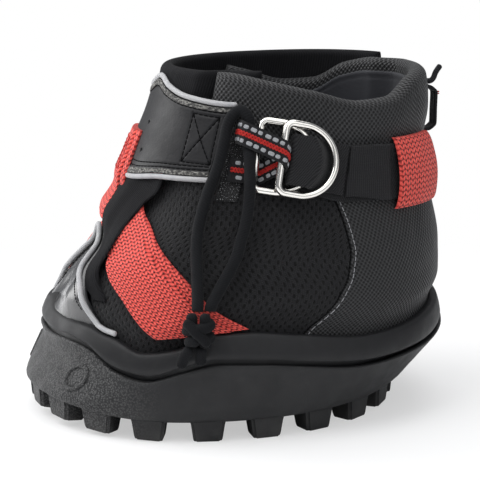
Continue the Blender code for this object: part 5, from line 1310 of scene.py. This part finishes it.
# Flat dark discs over the strap's holes: painted shade in them.
HOLE_SHADE_RADIUS, HOLE_SHADE_RAISE, HOLE_SHADE_SHARE, HOLE_SHADE_SQUASH = 0.00075, 0.00012, 0.004, 0.12
OVERLAP_BOX = ((0.90, 0.32), (0.90, 0.90), (0.56, 0.90), (0.56, 0.32))


def facing_place(side):
    def place(u, v, out):
        share = between((FACING_EDGE_SHARES[0][0], FACING_TOP_SHARE), v)
        edges = [curve(FACING_EDGE_SHARES, share, column) * TOE for column in (1, 2)]
        lift = CLEARANCE + FACING_RAISE * smooth(share * UPPER_HEIGHT, *FACING_RAISE_HEIGHTS)
        if side > 0:
            lap = smooth(share, *FACING_LAP_START_SHARES)
            edges[0] = edges[0] - FACING_LAP_SHARE * TOE * lap
            lift = lift + FACING_LAP_RAISE * lap * (1 - smooth(u, *FACING_LAP_EDGE_SHARES))
        return wall(TOE + side * between(edges, u), share * UPPER_HEIGHT, lift + out)
    return place


def through(table, share, column):
    """A smooth line through evenly spaced rows."""
    values = np.array([row[column] for row in table])
    at = share * (len(values) - 1)
    k = np.minimum(at.astype(int), len(values) - 2)
    before, a, b, after = (values[np.clip(k + step, 0, len(values) - 1)] for step in (-1, 0, 1, 2))
    return bend(a, b, (b - before) / 2, (after - a) / 2, at - k)


def webbing_line(share, across):
    """Angle and height at a place on a webbing, and the angle of its middle."""
    angles, heights = ([through(table, share, column) for table in (WEBBING_LOWER_SHARES, WEBBING_UPPER_SHARES)]
                       for column in (0, 1))
    height = LIP_HEIGHT + between(heights, across) * (UPPER_HEIGHT - LIP_HEIGHT)
    return between(angles, across) * TOE, height, (angles[0] + angles[1]) / 2 * TOE


def webbing_place(side):
    def place(u, v, out):
        angle, height, middle = webbing_line(u, v)
        raised = (1 - smooth(middle, *CROSS_TURNS)) if side > 0 else 0.0
        return wall(TOE + side * angle, height, WEBBING_LIFT + raised * (WEBBING_THICKNESS + CLEARANCE) + out)
    return place


def webbing_relief(x, y, u, v, gap):
    doubled = smooth(webbing_line(u, v)[2], *PLY_TURNS)
    ply = 1 - smooth(v, *PLY_EDGE_SHARES)
    groove = 0.35 * bell(v - PLY_GROOVE_SHARE, 0.012) * doubled
    return WEBBING_THICKNESS / MM * doubled * ply - groove + 0.10 * ripple(x, y, 81, 30.0) - 0.08


def front_strap_place(u, v, out):
    turns = [between(ends, u) for ends in (FRONT_STRAP_LOW_TURNS, FRONT_STRAP_TOP_TURNS)]
    heights = [curve(table, turn) * UPPER_HEIGHT
               for table, turn in zip((FRONT_STRAP_LOW_SHARES, FRONT_STRAP_TOP_SHARES), turns)]
    return last(between(turns, v), between(heights, v), STRAP_LIFT + out)


def strap_uv(turn, height):
    """Where on the front strap a turn and height lie."""
    goal = last(turn, height, STRAP_LIFT)
    at = np.array((0.5, 0.5))
    for _ in range(20):
        here = front_strap_place(*at, 0.0)
        ways = [(front_strap_place(*(at + move), 0.0) - here) / 0.01 for move in ((0.01, 0.0), (0.0, 0.01))]
        at = at + np.linalg.lstsq(np.stack(ways, -1), goal - here, rcond=None)[0]
    return at


def face_line(place, out, a, b):
    """Stitch places on a sheet's face between two (u, v) places."""
    def line(t):
        u, v = between((a[0], b[0]), t), between((a[1], b[1]), t)
        face = place(u, v, out)
        return face, unit(place(u, v, out + 0.001) - face)
    return line


def sewn(name, place, out, lines, stitch, look):
    rows = []
    for a, b in lines:
        line = face_line(place, out, a, b)
        steps = np.diff(line(np.linspace(0, 1, 60))[0], axis=0)
        rows += stitch_row(line, np.linalg.norm(steps, axis=1).sum() / MM, stitch)
    many(name, rows, look)


def box_lines(corners):
    """The sides and the diagonals of a box stitch."""
    return [(corners[k], corners[(k + 1) % 4]) for k in range(4)] + [(corners[0], corners[2]), (corners[1], corners[3])]


def line_groove(u, v, a, b, width, depth):
    """Depth of the dent that a stitch line presses into the front strap, in mm."""
    p, a, b = (np.stack([u, v], -1) * STRAP_FACE_MM, np.array(a) * STRAP_FACE_MM, np.array(b) * STRAP_FACE_MM)
    along = np.clip(((p - a) @ (b - a)) / ((b - a) @ (b - a)), 0, 1)
    return depth * bell(np.linalg.norm(p - (a + along[..., None] * (b - a)), axis=-1), width)


def build_webbings():
    across = np.unique(np.concatenate([span(70, 26), np.linspace(0.78, 0.87, 16)]))
    for name, side in SIDES:
        plate("facing_cloth_" + name, facing_place(side), span(36, 16), span(90, 46), FACING_THICKNESS, cuff_look,
              turned=side < 0, stands_for=("facing_" + name,), round_mm=1.3,
              relief=lambda x, y, u, v, gap: 0.35 * np.sin(math.pi * u) ** 0.8 * smooth(v, 0.0, 0.1) - 0.1)
        plate("red_webbing_strap_" + name, webbing_place(side), span(190, 96), across, WEBBING_THICKNESS, red_look,
              turned=side < 0, stands_for=("red_webbing_" + name,), relief=webbing_relief, round_mm=0.7)


def build_front_strap():
    corners = [strap_uv(*place) for place in BOX_PLACES]
    lines = box_lines(corners) + box_lines([(1 - u, v) for u, v in corners]) + STRAP_ROWS
    holes = [strap_uv(*place) for place in HOLE_PLACES]

    def relief(x, y, u, v, gap):
        down = sum(line_groove(u, v, a, b, 0.55, 0.20) for a, b in lines)
        for a, b in holes:
            away = np.hypot((u - a) * STRAP_FACE_MM[0], (v - b) * STRAP_FACE_MM[1])
            down = down + 0.9 * bell(away, 0.50) - 0.10 * bell(away - 1.0, 0.35)
        return 0.12 * ripple(x, y, 91, 30.0) - down

    plate("front_strap_leather", front_strap_place, span(300, 105), span(100, 30), FRONT_STRAP_THICKNESS,
          strap_leather_look, stands_for=("front_strap",), relief=relief, round_mm=0.8)
    sewn("front_strap_thread", front_strap_place, FRONT_STRAP_THICKNESS, lines, STRAP_STITCH, black_thread)
    # Painted shade: a flat dark disc in the knit's colour lies over each hole, standing in for the shade in it.
    hole_shades = []
    for u, v in holes:
        line = face_line(front_strap_place, FRONT_STRAP_THICKNESS, (u - HOLE_SHADE_SHARE, v), (u + HOLE_SHADE_SHARE, v))
        face, way = line(np.linspace(0, 1, 5))
        hole_shades.append(sweep(face + way * HOLE_SHADE_RAISE, HOLE_SHADE_RADIUS, sides=14, squash=HOLE_SHADE_SQUASH, up=way[0]))
    many("front_strap_hole_shades", hole_shades, cuff_look)
    for name, turns_at, table, sign in (("top", FRONT_STRAP_TOP_TURNS, FRONT_STRAP_TOP_SHARES, 1),
                                        ("bottom", FRONT_STRAP_LOW_TURNS, FRONT_STRAP_LOW_SHARES, -1)):
        radius = PIPING_DIAMETER / 2
        turn = np.linspace(*turns_at, 160)
        z = curve(table, turn) * UPPER_HEIGHT + sign * (radius + CLEARANCE)
        pipe("front_strap_piping_bead_" + name, last(turn, z, STRAP_LIFT + radius), radius, pipe_look,
             stands_for=("front_strap_piping_" + name,))

        def flange(u, v, out):
            u, v = between((FLANGE_END_SHARE, 1 - FLANGE_END_SHARE), u), (1 + sign) / 2 - sign * FLANGE_COVER_SHARE * v
            return front_strap_place(u, v, FRONT_STRAP_THICKNESS - FLANGE_SUNK + out)

        plate("front_strap_flange_" + name, flange, span(260, 104), span(8, 1.9), FLANGE_THICKNESS, flange_look,
              turned=sign > 0, round_mm=0.5,
              relief=lambda x, y, u, v, gap: 0.10 * flange_ribs(x) + 0.05 * ripple(x, y, 92, 3.0))


def overlap_place(u, v, out):
    """The doubled end of the far webbing, laid over the front strap's far half."""
    z = between((OVERLAP_EDGE[0][0], OVERLAP_EDGE[-1][0]), u)
    turn = curve(OVERLAP_EDGE, z) - (OVERLAP_TURN + OVERLAP_FLARE_TURN * smooth(z, *OVERLAP_FLARE_HEIGHTS)) * v
    free, laid = wall(turn, z, OVERLAP_FREE_LIFT + out), last(turn, z, OVERLAP_LAID_LIFT + out)
    return between((free, laid), smooth(z, *OVERLAP_LAY_HEIGHTS)[..., None])


def build_overlap():
    across = np.unique(np.concatenate([span(50, 26), np.linspace(0.17, 0.27, 14)]))
    plate("red_webbing_overlap", overlap_place, span(110, 38), across, WEBBING_THICKNESS, red_look, round_mm=0.7,
          relief=lambda x, y, u, v, gap: (smooth(v, *OVERLAP_EDGE_SHARES) - 0.35 * bell(v - OVERLAP_GROOVE_SHARE, 0.012)
                                          + 0.08 * ripple(x, y, 83, 14.0)))
    sewn("red_webbing_overlap_thread", overlap_place, 2 * WEBBING_THICKNESS - 0.0001, box_lines(OVERLAP_BOX),
         OVERLAP_STITCH, red_thread)


# ---------------------------------------------------------------- closure: strap, rings, ribbon, keepers
CLOSURE_END_TURN, TAIL_START, TAIL_END_TURN = 485.6, 0.0272, 296.2
RING_TURN, RING_HEIGHT, RING_LEAN_TURN = 252.5, 0.1086, 10.0
RING_WIRE, RING_HALF_SPAN, RING_STRAIGHT, RING_CORNER = 0.0032, 0.0139, 0.0080, 0.0030
RING_SPARE = 0.00012
RING_STAGGER, INNER_RING_LIFT, INNER_RING_RISE = 0.0095, 0.0029, 0.0012
OUTER_RING_LIFT, OUTER_RING_DROP = 0.0078, 0.0050
TAB_WIDTH, TAB_THICKNESS, PATCH_THICKNESS = 0.0095, 0.0008, 0.0007
PATCH_TURNS, PATCH_HEIGHTS = (232.2, 240.0), (0.0925, 0.1175)
HOOK_COLUMNS, HOOK_ROWS, HOOK_LEAN, HOOK_RADIUS = 8, 20, 0.00022, 0.00016
KEEPER_TURNS, KEEPER_LENGTH, KEEPER_THICKNESS, KEEPER_ARCH = (299.0, 325.0), 0.0278, 0.0013, 0.0040
KEEPER_FULLNESS_SHARE = 0.55
LOOP_TURN, LOOP_WIDTH, LOOP_THICKNESS = 352.0, 0.0085, 0.0014
LOOP_RISE, LOOP_LENGTH, LOOP_REACH, HEEL_CORD_DIAMETER = 0.0031, 0.0165, 0.0076, 0.0024
RING_BLEND_TURN, RING_STRAP_RISE, STRAP_CENTRE = 26.0, 0.0040, -0.0003
FOLD_AT, FOLD_ROUND, INNER_SWING_ROOM, PINCH_SHARE, FOLD_LEAD_TURN = 0.0031, 0.0012, 0.0008, 0.94, 3.0
TAB_START, TAB_FOOT = (-0.0190, 0.0080), (-0.0182, 0.0079)
TAB_OVER_INNER, TAB_CORD = (-0.0085, 0.0044), (-0.0142, 0.0041)
TAB_CORD_HEIGHTS, TAB_EASE, TAB_BAR_TOP, TAB_BAR_LOW, TAB_LOW_H = (0.0076, 0.0062), 0.0006, 0.0018, -0.0022, -0.0072
TAB_LOW_STATIONS = (-0.0130, -0.0162, -0.0196)
TAB_UNDER_SHARES = ((0.42, 0.47), (0.72, 0.10), (1.0, 0.0))
TAB_LOWER_MM, TAB_COLUMNS = 25.0, 15
DASH_PITCH_MM, DASH_RADIUS, DASH_ROWS = 3.15, 0.00078, ((-0.305, 0.0), (0.305, 1.1))
BRAID_STEP_MM, BRAID_RADIUS, BRAID_SHARE, BRAID_PITCH_MM, ON_FACE = 0.24, 0.00040, 0.078, 2.6, 0.00002
ACROSS = np.concatenate([[-1, -0.985, -0.96], np.linspace(-0.92, 0.92, 21), [0.96, 0.985, 1]])


class RingFrame:
    """A flat frame on the boot's left side: s runs to the heel, h up, n out."""

    def __init__(self):
        self.origin = last(RING_TURN, RING_HEIGHT)
        back = unit(last(RING_TURN + 1, RING_HEIGHT) - last(RING_TURN - 1, RING_HEIGHT))
        up = unit(last(RING_TURN, RING_HEIGHT * 1.02) - last(RING_TURN, RING_HEIGHT * 0.98))
        self.n = unit(np.cross(back, up))
        up = unit(np.cross(self.n, back))
        lean = math.radians(RING_LEAN_TURN)
        self.s = back * math.cos(lean) - up * math.sin(lean)
        self.h = up * math.cos(lean) + back * math.sin(lean)

    def point(self, s, h, n):
        s, h, n = np.broadcast_arrays(s, h, n)
        return self.origin + s[..., None] * self.s + h[..., None] * self.h + n[..., None] * self.n

    def place(self, s, h):
        """Turn and height of the upper's surface behind places in the frame."""
        s, h = np.broadcast_arrays(np.asarray(s, float), np.asarray(h, float))
        turn, height = np.full(s.shape, RING_TURN), np.full(s.shape, RING_HEIGHT)
        for _ in range(12):
            offset = last(turn, height) - self.origin
            radius = np.linalg.norm(last(turn + 1, height) - last(turn, height), axis=-1)
            level = (s - offset @ self.s)[..., None] * self.s + (h - offset @ self.h)[..., None] * self.h
            height = height + level[..., 2]
            turn = turn + (level * unit(last(turn + 1, height) - last(turn - 1, height))).sum(-1) / radius
        return turn, height

    def lift(self, s, h):
        return (last(*self.place(s, h)) - self.origin) @ self.n


ring_frame = RingFrame()


def closure_height(turn):
    line = curve(CLOSURE_LINE_SHARES, half_share(turn)) * UPPER_HEIGHT
    return line + RING_STRAP_RISE * (1 - smooth(turn, RING_TURN, RING_TURN + RING_BLEND_TURN))


def offset_path(path, distance):
    """A path of (s, n) rows moved sideways in its plane."""
    step = unit(np.gradient(path, axis=0))
    return path + np.stack([-step[:, 1], step[:, 0]], -1) * distance


def strap_path(h):
    """The strap's middle line in the ring frame, through both rings and round its fold."""
    half = CLOSURE_THICKNESS / 2
    first = FOLD_AT + FOLD_ROUND + half
    reach = math.sqrt(RING_HALF_SPAN ** 2 - h ** 2)
    clear = RING_WIRE / 2 * RING_HALF_SPAN / reach + CLEARANCE
    centre = RING_STRAIGHT + reach
    s = np.linspace(TAIL_START - CLEARANCE, first, 70)
    low = ring_frame.lift(s, h) + CLOSURE_THICKNESS + 2 * CLEARANCE
    high = INNER_RING_LIFT + INNER_RING_RISE + RING_WIRE / 2 + INNER_SWING_ROOM + CLEARANCE
    n = between((low, high), 1 - smooth(s, centre - RING_STAGGER + clear, centre - clear)) + half
    base = ring_frame.lift(first, h) + CLEARANCE + half
    a = np.linspace(0, math.pi / 2, 9)
    down = np.stack([first - FOLD_ROUND * np.sin(a), n[-1] - FOLD_ROUND * (1 - np.cos(a))], -1)[1:]
    back = np.stack([first - FOLD_ROUND * np.cos(a), base + FOLD_ROUND * (1 - np.sin(a))], -1)
    return np.concatenate([np.stack([s, n], -1), down, back])


def strip(name, faces_at, shares, look, turned=False, relief=None, **extra):
    """A closed strip from its outer and inner face at each share of its width, with soft edges."""
    outer, inner = (np.stack(faces, 1) for faces in zip(*map(faces_at, shares)))
    x, y, gap = metric(outer)
    edge = np.minimum(y - y[:, :1], y[:, -1:] - y)
    ease = ((1 - np.sqrt(1 - (1 - np.clip(edge / 0.5, 0, 1)) ** 2)) * 0.35)[..., None]
    middle = (outer + inner) / 2
    eased = outer + (middle - outer) * ease
    back = inner + (middle - inner) * ease
    if relief is not None:
        eased = eased + unit(eased - back) * (relief(x, y) * MM)[..., None]
    sheet(name, eased, back, (x, y, gap), look, turned, **extra)
    return outer, inner


def strap_faces(share):
    across = share * CLOSURE_WIDTH / 2
    h = across * PINCH_SHARE + STRAP_CENTRE
    path = strap_path(h)
    turn, height = ring_frame.place(path[-1][0] + FOLD_ROUND, h)
    at = np.linspace(turn + FOLD_LEAD_TURN, CLOSURE_END_TURN, 300)
    z = closure_height(at) + across + ((height - closure_height(turn) - across)
                                       * (1 - smooth(at, turn, RING_TURN + RING_BLEND_TURN)))
    faces = []
    for sign in (1, -1):
        s, n = offset_path(path, sign * CLOSURE_THICKNESS / 2).T
        out = CLEARANCE + CLOSURE_THICKNESS * (1 + sign) / 2
        faces.append(np.concatenate([ring_frame.point(s, h, n), last(at, z, out)]))
    return faces


def tail_faces(share):
    across = share * CLOSURE_WIDTH / 2
    turn, height = ring_frame.place(TAIL_START, across * PINCH_SHARE + STRAP_CENTRE)
    at = np.linspace(turn, TAIL_END_TURN, 70)
    z = between((height, closure_height(at) + across), smooth(at, turn, TAIL_END_TURN))
    low = 2 * CLEARANCE + CLOSURE_THICKNESS
    return [last(at, z, out) for out in (low + CLOSURE_THICKNESS, low)]


def build_closure():
    strip("closure_strap_band", strap_faces, ACROSS, cloth_look, stands_for=("closure_strap",))
    strip("closure_tail_band", tail_faces, ACROSS, cloth_look, stands_for=("closure_tail",), body="strap_tail",
          relief=lambda x, y: -0.22 * bell(np.abs(y) - 8.9, 0.35))


def ring_outline():
    """A D ring's middle line: bar, corner, leg, bow, leg and corner, as (s, h) rows."""
    corner, half = RING_CORNER, RING_HALF_SPAN
    top = half - corner
    arc, bow = np.linspace(0, math.pi / 2, 10), np.linspace(math.pi / 2, -math.pi / 2, 60)
    leg = np.linspace(corner, RING_STRAIGHT, 6)[1:-1]
    parts = ((np.zeros(12), np.linspace(-top, top, 12)),
             (corner * (1 - np.cos(arc[1:])), top + corner * np.sin(arc[1:])), (leg, np.full(len(leg), half)),
             (RING_STRAIGHT + half * np.cos(bow), half * np.sin(bow)), (leg[::-1], np.full(len(leg), -half)),
             (corner * (1 - np.sin(arc[:-1])), -top - corner * np.cos(arc[:-1])))
    return np.concatenate([np.stack(part, -1) for part in parts])


def build_rings():
    s, h = ring_outline().T
    length = RING_STRAIGHT + RING_HALF_SPAN
    for name, bar, lift, drop in (("inner", -RING_STAGGER, INNER_RING_LIFT, -INNER_RING_RISE),
                                  ("outer", 0.0, OUTER_RING_LIFT, OUTER_RING_DROP)):
        pipe("d_ring_wire_" + name, ring_frame.point(bar + s, h, lift - s * drop / length), RING_WIRE / 2 - RING_SPARE,
             metal_look, closed=True, sides=26, up=ring_frame.n, body=name + "_ring", stands_for=("ring_" + name,),
             sharp=60)


def tab_route():
    """The ribbon's middle line as rows of s, h, n and how far it follows the wall."""
    half = TAB_THICKNESS / 2
    lift = ring_frame.lift
    over_patch = PATCH_THICKNESS + 2 * CLEARANCE + TAB_EASE + half
    outer_top = OUTER_RING_LIFT + RING_WIRE / 2 + CLEARANCE + half
    route = [(*place, lift(*place) + over_patch, 1.0) for place in (TAB_START, TAB_FOOT)]
    round_cord = CORD_DIAMETER / 2 + 2 * CLEARANCE + half
    for h, a in zip(np.linspace(*TAB_CORD_HEIGHTS, 4), np.array((1.0, 0.83, 0.66, 0.5)) * math.pi):
        route.append((TAB_CORD[0] + round_cord * math.cos(a), h, TAB_CORD[1] + round_cord * math.sin(a), 0.0))
    route.append((*TAB_OVER_INNER, (route[-1][2] + outer_top) / 2, 0.0))
    wrap = RING_WIRE / 2 + CLEARANCE + half
    for share in np.arange(7) / 6:
        a = math.pi * (0.5 - share)
        route.append((wrap * math.cos(a), between((TAB_BAR_TOP, TAB_BAR_LOW), share),
                      OUTER_RING_LIFT + wrap * math.sin(a), 0.0))
    under = lift(-RING_STAGGER, TAB_LOW_H) + CLEARANCE + half
    for share, drop in TAB_UNDER_SHARES:
        route.append((-RING_STAGGER * share, between((TAB_BAR_LOW, TAB_LOW_H), min(share * 1.3, 1.0)),
                      under + (OUTER_RING_LIFT - wrap - under) * drop, 1.0 - drop))
    route += [(s, TAB_LOW_H, lift(s, TAB_LOW_H) + over_patch, 1.0) for s in TAB_LOW_STATIONS]
    return np.array(route, float)


def fine_rows(route, steps):
    """The same polyline with its corners eased, several rows to each span."""
    ends = np.concatenate([route[:1], route, route[-1:]])
    u = (np.arange(steps) / steps)[:, None]
    rows = []
    for k in range(len(route) - 1):
        p0, p1, p2, p3 = ends[k:k + 4]
        rows.append(bend(p1, p2, (p2 - p0) * 0.42, (p3 - p1) * 0.42, u))
    return np.concatenate(rows + [route[-1:]])


def build_tab():
    s, h, n, follow = fine_rows(tab_route(), 7).T
    level = ring_frame.lift(s, h)

    def faces(share):
        across = share * TAB_WIDTH
        path = np.stack([s, n + follow * (ring_frame.lift(s, h + across) - level)], -1)
        sides = (offset_path(path, sign * TAB_THICKNESS / 2).T for sign in (1, -1))
        return [ring_frame.point(side[0], h + across, side[1]) for side in sides]

    outer, inner = strip("ring_tab_ribbon", faces, np.linspace(-0.5, 0.5, TAB_COLUMNS), tab_look,
                         stands_for=("ring_tab",), turned=True)
    steps = np.linalg.norm(np.diff(outer[:, TAB_COLUMNS // 2], axis=0), axis=1)
    at = np.concatenate([[0], np.cumsum(steps)]) / MM

    def on_tab(length, share, side):
        """Places on either face of the ribbon by length in mm and share across, with the way out."""
        col = (np.asarray(share) + 0.5) * (TAB_COLUMNS - 1)
        row = np.interp(length, at, np.arange(len(at)))
        k = np.clip(np.floor(col).astype(int), 0, TAB_COLUMNS - 2)
        i = np.clip(np.floor(row).astype(int), 0, len(at) - 2)
        f, g = (col - k)[..., None], (row - i)[..., None]
        face, back = (between((between((grid[i, k], grid[i, k + 1]), f),
                               between((grid[i + 1, k], grid[i + 1, k + 1]), f)), g) for grid in (outer, inner))
        return (face if side > 0 else back), unit(side * (face - back))

    dashes, zigzag = [], []
    end = at[-1] - 0.6
    for side, first in ((1, 0.0), (-1, end - TAB_LOWER_MM)):
        for share, shift in DASH_ROWS:
            for k, start in enumerate(np.arange(first + 1.2 + shift, end - 2.0, DASH_PITCH_MM)):
                t = np.linspace(start, start + 1.25 + 0.35 * math.sin(k * 2.4 + shift), 6)
                face, way = on_tab(t, np.full_like(t, share), side)
                dashes.append(sweep(face + way * ON_FACE, DASH_RADIUS, sides=12, squash=0.36, up=way[0]))
        for phase in (0.0, 0.5):
            t = np.arange(first + 0.8, end - 0.6, BRAID_STEP_MM)
            face, way = on_tab(t, BRAID_SHARE * np.sin((t / BRAID_PITCH_MM + phase) * math.tau), side)
            bow = 0.5 + 0.5 * np.sin((t / BRAID_PITCH_MM * 2 + phase) * math.tau)[:, None]
            zigzag.append(sweep(face + way * (ON_FACE + 0.00022 * bow), BRAID_RADIUS, sides=10, squash=0.8, up=way[0]))
    many("ring_tab_grey_dashes", dashes, grey_thread)
    many("ring_tab_red_braid", zigzag, red_thread)


def patch_place(u, v, out):
    return wall(between(PATCH_TURNS, u), between(PATCH_HEIGHTS, v), CLEARANCE + out)


def build_patch():
    plate("hook_patch_tape", patch_place, span(30, 9), span(60, 25), PATCH_THICKNESS * 0.5, patch_look,
          stands_for=("hook_patch",), round_mm=0.3)
    hooks = []
    for i in range(HOOK_COLUMNS):
        for j in range(HOOK_ROWS):
            u, v = (i + 0.5 + 0.3 * math.sin(j * 2.1)) / HOOK_COLUMNS, (j + 0.5 + 0.3 * math.sin(i * 1.7)) / HOOK_ROWS
            foot, tip = (patch_place(u, v, PATCH_THICKNESS * share) for share in (0.45, 0.95))
            lean = np.array((HOOK_LEAN * math.sin(i + j), 0, HOOK_LEAN * math.cos(i * 3 + j)))
            hooks.append(sweep([foot, (foot + tip) / 2 + lean * 0.3, tip + lean], HOOK_RADIUS, sides=5))
    many("hook_patch_hooks", hooks, glint_look)


def build_keepers():
    low = float(closure_height(sum(KEEPER_TURNS) / 2)) - KEEPER_LENGTH / 2
    for name, side in SIDES:
        def place(u, v, out):
            bow = np.clip(np.sin(math.pi * v), 0, 1) ** KEEPER_FULLNESS_SHARE
            return last(TOE + side * (between(KEEPER_TURNS, u) - TOE), low + KEEPER_LENGTH * v,
                        CLEARANCE + KEEPER_ARCH * bow + out)
        v = (1 - np.cos(np.linspace(0, math.pi, 90))) / 2
        plate("keeper_webbing_" + name, place, span(60, 26), v, KEEPER_THICKNESS, keeper_look, turned=side < 0,
              stands_for=("strap_keeper_" + name,), round_mm=0.6,
              relief=lambda x, y, u, v, gap: 0.10 * ripple(x, y, 95, 16.0) - 0.05)


def build_heel_loop():
    low = float(closure_height(LOOP_TURN)) + CLOSURE_WIDTH / 2 + LOOP_RISE
    high = low + LOOP_LENGTH
    half = LOOP_THICKNESS / 2
    reach = LOOP_REACH - half
    upper = [(CLEARANCE, half), (reach * 0.6, half), (reach * 0.9, -half), (reach, -3 * half)]
    path = fine_rows(np.array([*((out, high + rise) for out, rise in upper), (reach, (high + low) / 2),
                               *((out, low - rise) for out, rise in upper[::-1])]), 10)
    turn_span = math.degrees(LOOP_WIDTH / (UPPER_WIDTH / 2))

    def faces(share):
        sides = (offset_path(path, sign * half).T for sign in (1, -1))
        return [last(np.full(len(path), LOOP_TURN + share * turn_span), side[1], side[0]) for side in sides]

    strip("heel_loop_webbing", faces, np.linspace(-0.5, 0.5, 13), loop_look, turned=True,
          stands_for=("heel_pull_loop",))
    t = np.linspace(-0.56, 0.56, 14)
    threads = []
    for drop in (0.0012, 0.0020):
        line = last(LOOP_TURN + t * turn_span, high - drop + 0.0003 * np.sin(t * 5), reach + half + 0.0001)
        threads.append(sweep(line, 0.00032, sides=8))
    many("heel_loop_red_thread", threads, red_thread)
    radius = HEEL_CORD_DIAMETER / 2
    foot = high + LOOP_THICKNESS + CLEARANCE + radius
    stub = ((0.45, 0), (0.75, 0), (0.95, 1), (1.1, 3), (1.35, 5))
    line = smooth_route([last(LOOP_TURN, foot + rise * radius, reach * share) for share, rise in stub], 0.0005)
    pipe("heel_cord_end", line, radius, small_cord_look, sides=18, stands_for=("heel_cord",))


for build in (build_cord, build_sole, build_rand, build_panels, build_lining, build_insole, build_collar,
              build_webbings, build_front_strap, build_overlap, build_closure, build_rings, build_tab, build_patch,
              build_keepers, build_heel_loop):
    build()

# ---------------------------------------------------------------- last update
bpy.context.view_layer.update()
